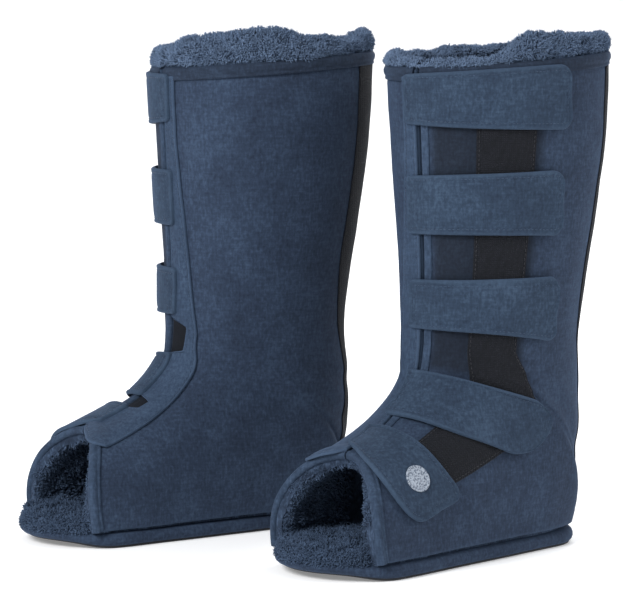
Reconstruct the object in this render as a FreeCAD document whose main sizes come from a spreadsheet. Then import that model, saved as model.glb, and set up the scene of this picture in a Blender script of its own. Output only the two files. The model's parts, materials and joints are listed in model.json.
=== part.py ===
"""A pair of open-toed, fleece-lined, calf-high strap boots.

Each boot is modelled in its own frame (millimetres, +Z up, toe towards -Y, outer side of
the left boot towards +X) and then set down beside the other one.

The upper is a tube of soft panels.  It is described by cross-sections, called stations,
that start at the toe opening, fan round the ankle and end at the top of the shaft.  A
place on the upper is (station, around): "around" is 0 on the front centre line and 1 at
the sole edge or the back seam.  Every panel, lining, band and strap is a thin solid over
a patch of that surface, between an inner and an outer distance from it.
"""
import FreeCAD, Part
import math
import os

import Sketcher

from FreeCAD import Vector

doc = FreeCAD.newDocument("strap_boots")

# ---------------------------------------------------------------- driving dimensions

DIMENSIONS = {
    # sole, seen from above: a round toe and a round heel joined by two straight sides
    "toe_radius": 62.0,
    "toe_centre_y": -146.0,
    "heel_radius": 49.0,
    "heel_centre_y": 45.0,
    "outsole_thick": 5.0,
    "midsole_thick": 7.0,
    "midsole_inset": 1.5,
    # fleece footbed and the raised rim in front of it
    "footbed_toe_radius": 45.0,
    "footbed_toe_y": -148.0,
    "footbed_heel_radius": 32.5,
    "footbed_thick": 12.0,
    "footbed_round": 4.0,
    "rim_inner_radius": 50.0,
    "rim_outer_radius": 60.0,
    "rim_tall": 9.0,
    "rim_round": 3.0,
    "rim_half_angle": 56.0,
    # layers of the upper, measured from its outer face
    "panel_thick": 4.0,
    "lining_thick": 7.7,
    "layer_gap": 0.3,
    "band_thick": 1.7,
    "facing_thick": 2.0,
    "strap_clear": 3.0,
    "strap_thick": 3.0,
    "strap_corner": 9.0,
    "seam_width": 14.0,
    "badge_radius": 11.0,
    "badge_thick": 1.2,
    # how the two boots stand: turn of the toes towards -X, and place of each boot
    "left_turn": 46.0,
    "left_x": 135.0,
    "left_y": -4.0,
    "right_turn": 58.0,
    "right_x": -61.0,
    "right_y": 120.0,
}

# One row per station: front centre line (y, z), sole edge or back seam (x, y, z), then
# the length of the tangent at the front and the tangent (x, y, z) at the far end.
STATION_COLUMNS = ("front_y", "front_z", "base_x", "base_y", "base_z",
                   "front_pull", "base_pull_x", "base_pull_y", "base_pull_z")
STATIONS = {
    "toe":    (-152, 90, 60, -174, 12.5, 26, 2, -12, 60),
    "ball":   (-122, 103, 60, -132, 12.5, 38, 2, -2, 64),
    "arch":   (-100, 116, 56, -80, 12.5, 46, 4, 6, 72),
    "instep": (-85, 129, 53, -20, 12.5, 54, 7, 10, 84),
    "ankle":  (-75, 141, 50, 34, 12.5, 62, 12, 14, 92),
    "hock":   (-71, 150, 34, 76, 12.5, 68, 30, 14, 92),
    "heel":   (-69, 158, 0, 92, 12.5, 72, 80, 0, 108),
    "tendon": (-68, 166, 0, 98, 108, 76, 78, 0, 24),
    "shin":   (-67, 178, 0, 94, 166, 80, 80, 0, 6),
    "calf":   (-67, 220, 0, 99, 217, 86, 88, 0, 0),
    "muscle": (-70, 290, 0, 110, 288, 96, 100, 0, 0),
    "cuff":   (-73, 345, 0, 116, 350, 102, 108, 0, 0),
    "top":    (-75, 391, 0, 118, 407, 108, 108, 0, 0),
}

sheet = doc.addObject("Spreadsheet::Sheet", "Sizes")


def fill_sheet():
    """Write every dimension as a plain number with an alias."""
    rows = list(DIMENSIONS.items())
    for station, values in STATIONS.items():
        for column, value in zip(STATION_COLUMNS, values):
            rows.append((f"{station}_{column}", float(value)))
    for row, (alias, value) in enumerate(rows, start=1):
        sheet.set(f"A{row}", alias)
        sheet.set(f"B{row}", str(value))
        sheet.setAlias(f"B{row}", alias)
    doc.recompute()


def size(alias):
    """Read one dimension back from the sheet."""
    return float(getattr(sheet, alias))


fill_sheet()

# ------------------------------------------------------------------- upper's surface

LAST = len(STATIONS) - 1
STATION_ROWS = [[size(f"{station}_{column}") for column in STATION_COLUMNS]
                for station in STATIONS]


def slope(before, here, after):
    """Tangent at a station; flat where the value turns or stands still."""
    if (here - before) * (after - here) <= 0:
        return 0.0
    return (after - before) / 2


def station_values(s):
    """Blend the station rows smoothly at the fractional station s."""
    i = min(max(int(math.floor(s)), 0), LAST - 1)
    f = s - i
    low = STATION_ROWS[max(i - 1, 0)]
    a = STATION_ROWS[i]
    b = STATION_ROWS[i + 1]
    high = STATION_ROWS[min(i + 2, LAST)]
    values = []
    for p, q, r, t in zip(low, a, b, high):
        start = slope(p, q, r) if i > 0 else r - q
        end = slope(q, r, t) if i + 1 < LAST else r - q
        values.append((2 * f**3 - 3 * f**2 + 1) * q + (f**3 - 2 * f**2 + f) * start
                      + (3 * f**2 - 2 * f**3) * r + (f**3 - f**2) * end)
    return values


def skin(s, around):
    """Point of the upper's outer face on the +X half."""
    fy, fz, bx, by, bz, pull, px, py, pz = station_values(s)
    corners = (Vector(0, fy, fz), Vector(pull, fy, fz),
               Vector(bx + px, by + py, bz + pz), Vector(bx, by, bz))
    back = 1 - around
    weights = (back**3, 3 * back**2 * around, 3 * back * around**2, around**3)
    point = Vector()
    for corner, weight in zip(corners, weights):
        point = point + corner * weight
    return point


def outward(s, around):
    """Unit normal of the upper, pointing away from the leg."""
    step_s = 0.12
    step_a = 0.01
    along = skin(min(s + step_s, LAST), around) - skin(max(s - step_s, 0), around)
    across = skin(s, min(around + step_a, 1)) - skin(s, max(around - step_a, 0))
    return across.cross(along).normalize()


def place_on(s, around, height, side):
    """Point at a height above the upper; side 1 is the +X half, -1 the -X half."""
    point = skin(s, around) + outward(s, around) * height
    return Vector(side * point.x, point.y, point.z)


def height_of(s):
    """Height of the front centre line at station s."""
    return station_values(s)[1]


# ---------------------------------------------------------------------- solid makers

def closed_solid(faces):
    """Sew faces that share their edges into one outward-facing solid."""
    solid = Part.Solid(Part.Shell(faces))
    if not solid.isValid():
        sewn = Part.makeShell(faces)
        sewn.sewShape()
        solid = Part.Solid(sewn)
    if solid.Volume < 0:
        solid.reverse()
    return solid


def spline_through(points, marks):
    """Smooth curve through the points, reaching each one at its mark."""
    curve = Part.BSplineCurve()
    curve.interpolate(Points=points, Parameters=marks)
    return curve


def smooth_face(grid, row_marks, column_marks):
    """B-spline surface through a grid of points, evenly marked in both directions."""
    along = [spline_through(row, column_marks) for row in grid]
    poles = zip(*[curve.getPoles() for curve in along])
    across = [spline_through(list(column), row_marks) for column in poles]
    net = [list(row) for row in zip(*[curve.getPoles() for curve in across])]
    surface = Part.BSplineSurface()
    surface.buildFromPolesMultsKnots(
        net, across[0].getMultiplicities(), along[0].getMultiplicities(),
        across[0].getKnots(), along[0].getKnots(), False, False,
        across[0].Degree, along[0].Degree)
    return surface


def slab(point_at, rows, columns):
    """Solid between two smooth faces; point_at(row, column, layer) gives their points."""
    faces = []
    rims = []
    for layer in (0, 1):
        grid = [[point_at(r, c, layer) for c in columns] for r in rows]
        surface = smooth_face(grid, list(rows), list(columns))
        faces.append(surface.toShape())
        u0, u1, v0, v1 = surface.bounds()
        rims.append([surface.uIso(u0).toShape(), surface.vIso(v1).toShape(),
                     surface.uIso(u1).toShape(), surface.vIso(v0).toShape()])
    for inner, outer in zip(*rims):
        faces.append(Part.makeRuledSurface(inner, outer))
    return closed_solid(faces)


def steps(start, end, count):
    """Evenly spaced values from start to end, both included."""
    return [start + (end - start) * k / (count - 1) for k in range(count)]


def ease_to_end(count, power):
    """Values from 0 to 1 that crowd together towards 1."""
    return [1 - (1 - k / (count - 1))**power for k in range(count)]


def patch(side, s_start, s_end, around_start, around_end, low, high, rows=9, columns=7):
    """Layer of the upper over a patch whose two long edges may wander with s."""
    def point_at(s, share, layer):
        a = around_start(s) if callable(around_start) else around_start
        b = around_end(s) if callable(around_end) else around_end
        return place_on(s, a + (b - a) * share, high if layer else low, side)
    return slab(point_at, steps(s_start, s_end, rows), steps(0, 1, columns))


def feature(name, shape, placement):
    """Put a shape into the document under its own label."""
    part = doc.addObject("Part::Feature", name)
    part.Label = name
    part.Shape = shape
    part.Placement = placement
    return part


# ------------------------------------------------------------------------ boot parts

# Where pieces of the upper start and stop, in stations and in the around direction.
EDGE_S = 0.2            # bands start behind the rolled toe edge
HEM_S = 11.84           # bands stop under the hem
TOP_S = 12.0
FOLD_S = 7.6            # the opening flap starts here, above the ankle
FOLD_LOW = 0.15         # around value of the fold at FOLD_S
FOLD_HIGH = 0.50        # around value of the fold at the top
FOLD_GAP = 0.006
FLAP_GAP_S = 0.03
SEAM_AROUND = 0.988     # panels stop just short of the back seam and the sole
FRONT_EDGE = 0.018      # front edge of the outer panel, beside the slit
FRONT_BAND = 0.045
FACING_NARROW_S = 11.0  # the facing is narrow above here, and widens on the way down
FACING_WIDENS_OVER = 3.8


def fold(s):
    """Around value of the fold line that the flap turns about."""
    share = (height_of(s) - height_of(FOLD_S)) / (height_of(TOP_S) - height_of(FOLD_S))
    return FOLD_LOW + (FOLD_HIGH - FOLD_LOW) * share


def fixed_side_of_fold(s):
    return fold(s) + FOLD_GAP


def flap_side_of_fold(s):
    return fold(s) - FOLD_GAP


def towards_toe(s):
    """0 on the shaft, growing to 1 at the toe opening."""
    return max(0.0, (FOLD_S - s) / FOLD_S)


def facing_edge(s):
    """Outer seam of the facing: narrow by the calf, it swings down beside the toes."""
    widening = min(max((FACING_NARROW_S - s) / FACING_WIDENS_OVER, 0.0), 1.0)
    ankle = widening**2 * (3 - 2 * widening)
    return 0.05 + 0.09 * ankle + 0.36 * towards_toe(s)**2.5


def tape_front(s):
    """Front edge of the loop tape; it swings outwards over the foot."""
    return 0.19 + 0.20 * towards_toe(s)**1.5


def tape_back(s):
    """Back edge of the loop tape, which widens over the foot."""
    return tape_front(s) + 0.385 - 0.20 * (1 - towards_toe(s))**2


def sole_outline(body, name, toe_radius, toe_y, heel_radius, heel_y, z_offset):
    """Closed outline of a sole: toe arc, heel arc and two tangent sides."""
    sketch = body.newObject("Sketcher::SketchObject", name)
    plane = [f for f in body.Origin.OriginFeatures if f.Role == "XY_Plane"][0]
    sketch.AttachmentSupport = (plane, [""])
    sketch.MapMode = "FlatFace"
    sketch.AttachmentOffset = FreeCAD.Placement(Vector(0, 0, 0), FreeCAD.Rotation())
    sketch.setExpression("AttachmentOffset.Base.z", z_offset)
    values = [evaluate(text) for text in (toe_radius, toe_y, heel_radius, heel_y)]
    toe_r, toe_c, heel_r, heel_c = values
    tilt = math.asin((toe_r - heel_r) / (heel_c - toe_c))
    toe_centre = Vector(0, toe_c, 0)
    heel_centre = Vector(0, heel_c, 0)
    toe_arc = Part.ArcOfCircle(Part.Circle(toe_centre, Vector(0, 0, 1), toe_r),
                               math.pi - tilt, 2 * math.pi + tilt)
    heel_arc = Part.ArcOfCircle(Part.Circle(heel_centre, Vector(0, 0, 1), heel_r),
                                tilt, math.pi - tilt)
    right = Part.LineSegment(toe_arc.EndPoint, heel_arc.StartPoint)
    left = Part.LineSegment(heel_arc.EndPoint, toe_arc.StartPoint)
    sketch.addGeometry([toe_arc, right, heel_arc, left], False)
    for first, second in ((0, 1), (1, 2), (2, 3), (3, 0)):
        sketch.addConstraint(Sketcher.Constraint("Tangent", first, 2, second, 1))
    for geometry in (0, 2):
        sketch.addConstraint(Sketcher.Constraint("PointOnObject", geometry, 3, -2))
    named = (("toe_size", Sketcher.Constraint("Radius", 0, toe_r), toe_radius),
             ("heel_size", Sketcher.Constraint("Radius", 2, heel_r), heel_radius),
             ("toe_place", Sketcher.Constraint("DistanceY", 0, 3, -1, 1, -toe_c),
              f"-({toe_y})"),
             ("heel_place", Sketcher.Constraint("DistanceY", -1, 1, 2, 3, heel_c), heel_y))
    for label, constraint, expression in named:
        index = sketch.addConstraint(constraint)
        sketch.renameConstraint(index, label)
        sketch.setExpression(f"Constraints.{label}", expression)
    return sketch


def evaluate(expression):
    """Value of a simple sum of sheet cells such as Sizes.a - Sizes.b."""
    total = 0.0
    sign = 1.0
    for word in expression.split():
        if word in "+-":
            sign = -1.0 if word == "-" else 1.0
        else:
            total += sign * size(word.replace("Sizes.", ""))
            sign = 1.0
    return total


def padded_body(name, outline, thickness, placement, round_edges=None):
    """PartDesign body: a sole outline padded upwards, its top edge rounded if asked."""
    body = doc.addObject("PartDesign::Body", name)
    body.Label = name
    sketch = sole_outline(body, f"{name}_outline", *outline)
    pad = body.newObject("PartDesign::Pad", f"{name}_pad")
    pad.Profile = sketch
    pad.setExpression("Length", thickness)
    doc.recompute()
    if round_edges:
        top = max(v.Z for v in pad.Shape.Vertexes)
        edges = [f"Edge{i + 1}" for i, edge in enumerate(pad.Shape.Edges)
                 if min(v.Z for v in edge.Vertexes) > top - 0.01]
        fillet = body.newObject("PartDesign::Fillet", f"{name}_round")
        fillet.Base = (pad, edges)
        fillet.setExpression("Radius", round_edges)
    body.Placement = placement
    return body


def sole_parts(boot, placement):
    """Tread, midsole, fleece footbed and the raised rim round the toe."""
    tread = ("Sizes.toe_radius", "Sizes.toe_centre_y", "Sizes.heel_radius",
             "Sizes.heel_centre_y", "0 mm")
    padded_body(f"{boot}_outsole", tread, "Sizes.outsole_thick", placement)
    middle = ("Sizes.toe_radius - Sizes.midsole_inset", "Sizes.toe_centre_y",
              "Sizes.heel_radius - Sizes.midsole_inset", "Sizes.heel_centre_y",
              "Sizes.outsole_thick")
    padded_body(f"{boot}_midsole", middle, "Sizes.midsole_thick", placement)
    bed = ("Sizes.footbed_toe_radius", "Sizes.footbed_toe_y", "Sizes.footbed_heel_radius",
           "Sizes.heel_centre_y", "Sizes.outsole_thick + Sizes.midsole_thick")
    padded_body(f"{boot}_footbed", bed, "Sizes.footbed_thick", placement,
                "Sizes.footbed_round")
    toe_rim(boot, placement)


def toe_rim(boot, placement):
    """Raised padded rim that follows the toe of the sole: a revolved profile."""
    name = f"{boot}_toe_rim"
    body = doc.addObject("PartDesign::Body", name)
    body.Label = name
    sketch = body.newObject("Sketcher::SketchObject", f"{name}_profile")
    plane = [f for f in body.Origin.OriginFeatures if f.Role == "YZ_Plane"][0]
    sketch.AttachmentSupport = (plane, [""])
    sketch.MapMode = "FlatFace"
    centre = size("toe_centre_y")
    near = centre - size("rim_inner_radius")
    far = centre - size("rim_outer_radius")
    bottom = size("outsole_thick") + size("midsole_thick")
    crown = bottom + size("rim_tall")
    corners = [Vector(far, bottom, 0), Vector(near, bottom, 0),
               Vector(near, crown, 0), Vector(far, crown, 0)]
    for k in range(4):
        sketch.addGeometry(Part.LineSegment(corners[k], corners[(k + 1) % 4]), False)
    for k in range(4):
        sketch.addConstraint(Sketcher.Constraint("Coincident", k, 2, (k + 1) % 4, 1))
    for k, kind in enumerate(("Horizontal", "Vertical", "Horizontal", "Vertical")):
        sketch.addConstraint(Sketcher.Constraint(kind, k))
    named = (("near", Sketcher.Constraint("DistanceX", 0, 2, -1, 1, -near),
              "Sizes.rim_inner_radius - Sizes.toe_centre_y"),
             ("far", Sketcher.Constraint("DistanceX", 0, 1, -1, 1, -far),
              "Sizes.rim_outer_radius - Sizes.toe_centre_y"),
             ("low", Sketcher.Constraint("DistanceY", -1, 1, 0, 1, bottom),
              "Sizes.outsole_thick + Sizes.midsole_thick"),
             ("tall", Sketcher.Constraint("DistanceY", 1, 1, 1, 2, size("rim_tall")),
              "Sizes.rim_tall"))
    for label, constraint, expression in named:
        index = sketch.addConstraint(constraint)
        sketch.renameConstraint(index, label)
        sketch.setExpression(f"Constraints.{label}", expression)
    pivot = body.newObject("PartDesign::Line", f"{name}_pivot")
    pivot.AttachmentSupport = None
    pivot.MapMode = "Deactivated"
    pivot.Placement = FreeCAD.Placement(Vector(0, centre, 0), FreeCAD.Rotation())
    pivot.setExpression("Placement.Base.y", "Sizes.toe_centre_y")
    turn = body.newObject("PartDesign::Revolution", f"{name}_turn")
    turn.Profile = sketch
    turn.ReferenceAxis = (pivot, [""])
    turn.Midplane = True
    turn.setExpression("Angle", "2 * Sizes.rim_half_angle")
    doc.recompute()
    crown_edges = [f"Edge{i + 1}" for i, edge in enumerate(turn.Shape.Edges)
                   if edge.Curve.TypeId == "Part::GeomCircle"
                   and edge.Vertexes[0].Z > crown - 0.01]
    fillet = body.newObject("PartDesign::Fillet", f"{name}_round")
    fillet.Base = (turn, crown_edges)
    fillet.setExpression("Radius", "Sizes.rim_round")
    body.Placement = placement


def panel_parts(boot, outer, placement):
    """Outer fabric panels and the fleece behind them; outer is the outer side's sign."""
    thick = size("panel_thick")
    back = -thick - size("layer_gap")
    layers = (("panel", -thick, 0.0, 0.0), ("lining", back - size("lining_thick"), back, 0.05))
    inner = -outer
    for kind, low, high, inset in layers:
        foot_end = FOLD_S - FLAP_GAP_S
        shaft_start = FOLD_S + FLAP_GAP_S
        patches = (
            ("outer_foot", outer, inset, foot_end, FRONT_EDGE, SEAM_AROUND, 17, 9),
            ("outer_shaft", outer, shaft_start, TOP_S - inset, FRONT_EDGE, SEAM_AROUND, 9, 9),
            ("inner_foot", inner, inset, foot_end, 0.0, SEAM_AROUND, 17, 9),
            ("inner_shaft", inner, shaft_start, TOP_S - inset, fixed_side_of_fold,
             SEAM_AROUND, 9, 9),
            ("flap", inner, shaft_start, TOP_S - inset, 0.0, flap_side_of_fold, 9, 9),
        )
        for place, side, s0, s1, a0, a1, rows, columns in patches:
            shape = patch(side, s0, s1, a0, a1, low, high, rows, columns)
            feature(f"{boot}_{place}_{kind}", shape, placement)


def band_parts(boot, outer, placement):
    """Hem, toe edges, front edge, facing and loop tape: thin layers on the panels."""
    inner = -outer
    low = size("layer_gap") / 2
    high = low + size("band_thick")
    face_high = low + size("facing_thick")
    hem_start = HEM_S + 0.01
    hems = (("outer_hem", outer, FRONT_EDGE, SEAM_AROUND, 9),
            ("inner_hem", inner, fixed_side_of_fold, SEAM_AROUND, 7),
            ("flap_hem", inner, 0.0, flap_side_of_fold, 7))
    for name, side, a0, a1, columns in hems:
        shape = patch(side, hem_start, TOP_S, a0, a1, low, high, 3, columns)
        feature(f"{boot}_{name}", shape, placement)
    for name, side in (("outer_toe_edge", outer), ("inner_toe_edge", inner)):
        start = FRONT_EDGE if side == outer else 0.0
        shape = patch(side, 0.0, EDGE_S - 0.01, start, SEAM_AROUND, low, high, 3, 9)
        feature(f"{boot}_{name}", shape, placement)
    shape = patch(outer, EDGE_S, HEM_S, FRONT_EDGE, FRONT_BAND, low, high, 25, 3)
    feature(f"{boot}_front_edge", shape, placement)
    shape = patch(inner, EDGE_S, FOLD_S - FLAP_GAP_S, 0.0, facing_edge, low, face_high, 15, 4)
    feature(f"{boot}_foot_facing", shape, placement)
    shape = patch(inner, FOLD_S + FLAP_GAP_S, HEM_S, 0.0, facing_edge, low, face_high, 9, 4)
    feature(f"{boot}_flap_facing", shape, placement)
    shape = patch(outer, EDGE_S, HEM_S, tape_front, tape_back, low, high, 25, 5)
    feature(f"{boot}_loop_tape", shape, placement)


def back_seam(boot, placement):
    """Flat binding strip down the back seam, bent only along its length."""
    half = size("seam_width") / 2
    lift = 0.9

    def point_at(s, across, layer):
        base = skin(s, 1.0)
        out = lift + (size("band_thick") if layer else 0.0)
        return Vector(across, base.y + out, base.z)

    shape = slab(point_at, steps(6.1, HEM_S, 13), (-half, 0.0, half))
    feature(f"{boot}_back_seam", shape, placement)


# Straps: stations of the lower edge and of the upper edge (each at the root, half way and
# at the free end), then the around value of the lower and upper corner of the free end.
STRAPS = (
    ((11.02, 10.95, 10.91), (11.90, 11.93, 11.92), (0.48, 0.47)),
    ((9.57, 9.58, 9.57), (10.27, 10.31, 10.35), (0.485, 0.465)),
    ((8.20, 8.14, 7.96), (9.06, 9.09, 9.12), (0.52, 0.505)),
    ((1.95, 2.26, 3.38), (5.10, 5.18, 5.85), (0.685, 0.51)),
    ((0.26, 0.14, 0.85), (1.35, 1.48, 1.98), (0.835, 0.76)),
)
ROOT_AROUND = 0.004


def through(values, share):
    """Parabola through three values at 0, a half and 1."""
    start, middle, end = values
    return (start * (1 - share) * (1 - 2 * share) + middle * 4 * share * (1 - share)
            + end * share * (2 * share - 1))


def strap_place(row, along, across):
    """(s, around) on a strap: along runs root to free end, across its width."""
    low_edge, high_edge, end_around = row
    low = through(low_edge, along)
    high = through(high_edge, along)
    end = end_around[0] + (end_around[1] - end_around[0]) * across
    return low + (high - low) * across, ROOT_AROUND + (end - ROOT_AROUND) * along


def strap_length(row):
    """Length of a strap's middle line."""
    points = [skin(*strap_place(row, k / 20, 0.5)) for k in range(21)]
    return sum((b - a).Length for a, b in zip(points, points[1:]))


def strap(row, side):
    """Closed strap with rounded corners at its free end."""
    corner = size("strap_corner")
    length = strap_length(row)
    low = size("strap_clear")
    high = low + size("strap_thick")

    def point_at(along, across, layer):
        left = (1 - along) * length
        wide = (skin(*strap_place(row, along, 1.0)) - skin(*strap_place(row, along, 0.0))).Length
        trim = 0.0
        if left < corner:
            trim = corner - math.sqrt(max(corner**2 - (corner - left)**2, 0.0))
        share = 0.5 + (across - 0.5) * (1 - 2 * trim / wide)
        s, around = strap_place(row, along, share)
        return place_on(s, around, high if layer else low, side)

    return slab(point_at, ease_to_end(13, 1.7), steps(0, 1, 5))


def strap_parts(boot, outer, placement):
    """Five straps and the plain round badge on the lowest one."""
    for number, row in enumerate(STRAPS, start=1):
        feature(f"{boot}_strap_{number}", strap(row, outer), placement)
    s, around = strap_place(STRAPS[4], 0.74, 0.5)
    top = size("strap_clear") + size("strap_thick")
    badge = doc.addObject("Part::Cylinder", f"{boot}_badge")
    badge.Label = f"{boot}_badge"
    badge.setExpression("Radius", "Sizes.badge_radius")
    badge.setExpression("Height", "Sizes.badge_thick")
    centre = place_on(s, around, top + 0.3, outer)
    normal = place_on(s, around, top + 1.3, outer) - centre
    lean = FreeCAD.Placement(centre, FreeCAD.Rotation(Vector(0, 0, 1), normal))
    badge.Placement = placement.multiply(lean)


def stand(boot):
    """Placement of one boot, before the pair is centred."""
    turn = FreeCAD.Rotation(Vector(0, 0, 1), -size(f"{boot}_turn"))
    return FreeCAD.Placement(Vector(size(f"{boot}_x"), size(f"{boot}_y"), 0), turn)


def build_boot(boot, outer):
    """All parts of one boot; outer is +1 where its outer side faces its own +X."""
    placement = stand(boot)
    sole_parts(boot, placement)
    panel_parts(boot, outer, placement)
    band_parts(boot, outer, placement)
    back_seam(boot, placement)
    strap_parts(boot, outer, placement)


def sub_parts():
    """Every object that becomes a file: bodies and free-standing features."""
    kinds = ("PartDesign::Body", "Part::Feature", "Part::Cylinder")
    return [obj for obj in doc.Objects if obj.TypeId in kinds]


def centre_pair():
    """Shift both boots so that the origin lies under the middle of the pair."""
    box = FreeCAD.BoundBox()
    for obj in sub_parts():
        box.add(obj.Shape.optimalBoundingBox(False))
    shift = Vector(-box.Center.x, -box.Center.y, 0)
    for obj in sub_parts():
        moved = obj.Placement
        moved.Base = moved.Base + shift
        obj.Placement = moved
    doc.recompute()
    return shift


def check_document():
    """Stop when any object failed or any sub-part is not one sound solid."""
    for obj in doc.Objects:
        if "Invalid" in obj.State or "Error" in obj.State:
            raise RuntimeError(f"{obj.Name} failed: {obj.State}")
    for obj in sub_parts():
        shape = obj.Shape
        if shape.isNull() or not shape.isValid() or shape.Volume <= 0:
            raise RuntimeError(f"{obj.Label} is not a valid solid")


def export_parts():
    os.makedirs("parts", exist_ok=True)
    for obj in sub_parts():
        obj.Shape.exportStep(f"parts/{obj.Label}.step")


build_boot("left", 1)
build_boot("right", -1)
doc.recompute()
pair_shift = centre_pair()
check_document()
export_parts()
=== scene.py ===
"""A pair of open-toed, fleece-lined strap boots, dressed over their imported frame.

Each boot's upper is described once, as a smooth surface.  A place on it is a station
(0 at the toe opening, 12 at the top of the shaft) and a signed way round: 0 on the front
centre line, +1 and -1 at the sole edge or back seam of the outer and the inner side.
Every fabric, fleece, band, strap and thread is laid at a height above that surface.
"""
import json
import math

import bmesh
import bpy
import numpy as np
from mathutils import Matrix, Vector


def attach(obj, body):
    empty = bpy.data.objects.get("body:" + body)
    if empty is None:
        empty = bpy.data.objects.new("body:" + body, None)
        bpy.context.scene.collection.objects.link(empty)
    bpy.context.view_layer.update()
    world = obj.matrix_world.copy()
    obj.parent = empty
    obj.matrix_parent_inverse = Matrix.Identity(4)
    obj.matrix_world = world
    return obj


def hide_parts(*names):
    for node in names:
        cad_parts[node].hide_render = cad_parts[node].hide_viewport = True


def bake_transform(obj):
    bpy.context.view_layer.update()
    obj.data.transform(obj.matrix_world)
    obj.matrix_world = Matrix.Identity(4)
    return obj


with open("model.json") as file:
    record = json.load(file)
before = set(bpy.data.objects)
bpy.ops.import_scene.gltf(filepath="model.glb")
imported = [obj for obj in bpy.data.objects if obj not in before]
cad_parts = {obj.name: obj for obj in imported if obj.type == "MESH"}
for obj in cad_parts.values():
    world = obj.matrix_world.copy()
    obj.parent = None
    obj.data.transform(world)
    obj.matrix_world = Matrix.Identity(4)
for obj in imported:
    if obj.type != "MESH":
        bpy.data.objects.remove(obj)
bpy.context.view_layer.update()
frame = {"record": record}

MM = 0.001

# ------------------------------------------------------------------ surface of the upper

# Stations, as in the design: front centre line (y, z), base (x, y, z), length of the
# tangent at the front, tangent (x, y, z) at the base; millimetres in the boot's own frame.
STATIONS = np.array([
    (-152, 90, 60, -174, 12.5, 26, 2, -12, 60),      # toe opening
    (-122, 103, 60, -132, 12.5, 38, 2, -2, 64),      # ball of the foot
    (-100, 116, 56, -80, 12.5, 46, 4, 6, 72),        # arch
    (-85, 129, 53, -20, 12.5, 54, 7, 10, 84),        # instep
    (-75, 141, 50, 34, 12.5, 62, 12, 14, 92),        # ankle
    (-71, 150, 34, 76, 12.5, 68, 30, 14, 92),        # side of the heel
    (-69, 158, 0, 92, 12.5, 72, 80, 0, 108),         # back of the heel
    (-68, 166, 0, 98, 108, 76, 78, 0, 24),           # tendon
    (-67, 178, 0, 94, 166, 80, 80, 0, 6),            # lower shin
    (-67, 220, 0, 99, 217, 86, 88, 0, 0),            # lower calf
    (-70, 290, 0, 110, 288, 96, 100, 0, 0),          # calf
    (-73, 345, 0, 116, 350, 102, 108, 0, 0),         # cuff
    (-75, 391, 0, 118, 407, 108, 108, 0, 0),         # top
], float) * MM
LAST = len(STATIONS) - 1
TOP = float(LAST)
FOLD_S = 7.6            # the opening flap starts here, above the ankle
FOLD_LOW = 0.15         # way round of the fold at FOLD_S and at the top
FOLD_HIGH = 0.50
SPLIT = 0.07            # the flap's cloth goes on this far behind the fold, then is still
SEAM = 0.988            # fabric stops just short of the back seam and of the sole
SLIT = 0.018            # front edge of the outer panel
FLAP_FRONT = 0.004      # front end of the inner side's rolled edges


def station_slopes():
    """Tangent of every column at every station; flat where it turns or stands still."""
    slopes = np.zeros_like(STATIONS)
    slopes[0] = STATIONS[1] - STATIONS[0]
    slopes[-1] = STATIONS[-1] - STATIONS[-2]
    before = STATIONS[1:-1] - STATIONS[:-2]
    after = STATIONS[2:] - STATIONS[1:-1]
    slopes[1:-1] = np.where(before * after <= 0, 0.0, (before + after) / 2)
    return slopes


SLOPES = station_slopes()


def station_at(s):
    """Blended station values; straight on past the first and the last station."""
    s = np.asarray(s, float)
    inside = np.clip(s, 0.0, TOP)
    i = np.minimum(inside.astype(int), LAST - 1)
    f = (inside - i)[..., None]
    a, b = STATIONS[i], STATIONS[i + 1]
    values = ((2 * f**3 - 3 * f**2 + 1) * a + (f**3 - 2 * f**2 + f) * SLOPES[i]
              + (3 * f**2 - 2 * f**3) * b + (f**3 - f**2) * SLOPES[i + 1])
    beyond = (s - inside)[..., None]
    return values + beyond * np.where(beyond > 0, SLOPES[-1], SLOPES[0])


def skin(s, way):
    """Points of the upper's outer face in the boot's frame, outer side towards +X."""
    s, way = np.broadcast_arrays(np.asarray(s, float), np.asarray(way, float))
    v = station_at(s)
    t = np.abs(way)[..., None]
    front = np.stack([0 * v[..., 0], v[..., 0], v[..., 1]], -1)
    front_pull = np.stack([v[..., 5], v[..., 0], v[..., 1]], -1)
    base = v[..., 2:5]
    points = ((1 - t)**3 * front + 3 * (1 - t)**2 * t * front_pull
              + 3 * (1 - t) * t**2 * (base + v[..., 6:9]) + t**3 * base)
    points[..., 0] *= np.where(way < 0, -1.0, 1.0)
    return points


def unit(vectors):
    """Vectors made one long."""
    return vectors / np.maximum(np.linalg.norm(vectors, axis=-1, keepdims=True), 1e-12)


def skin_normal(s, way):
    """Unit normals of the upper, away from the leg."""
    s, way = np.broadcast_arrays(np.asarray(s, float), np.asarray(way, float))
    across = skin(s, np.minimum(way + 0.01, 1.0)) - skin(s, np.maximum(way - 0.01, -1.0))
    along = skin(s + 0.12, way) - skin(s - 0.12, way)
    return unit(np.cross(across, along))


def fold(s):
    """Way round of the fold line that the flap turns about."""
    height = station_at(s)[..., 1]
    low = station_at(FOLD_S)[..., 1]
    rise = (height - low) / (STATIONS[-1][1] - low)
    return FOLD_LOW + (FOLD_HIGH - FOLD_LOW) * np.maximum(rise, 0)


def facing_edge(s):
    """Way round of the sewn edge of the facing, wider on the foot."""
    ankle = smooth(11.0 - s, 0, 3.8)
    return 0.05 + 0.09 * ankle + 0.36 * (np.maximum(FOLD_S - s, 0) / FOLD_S)**2.5


def tape_edges(s):
    """Front and back edge of the loop tape."""
    low = np.maximum(FOLD_S - s, 0) / FOLD_S
    front = 0.19 + 0.20 * low**1.5
    return front, front + 0.385 - 0.20 * (1 - low)**2


# --------------------------------------------------------------------- smooth randomness

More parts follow.
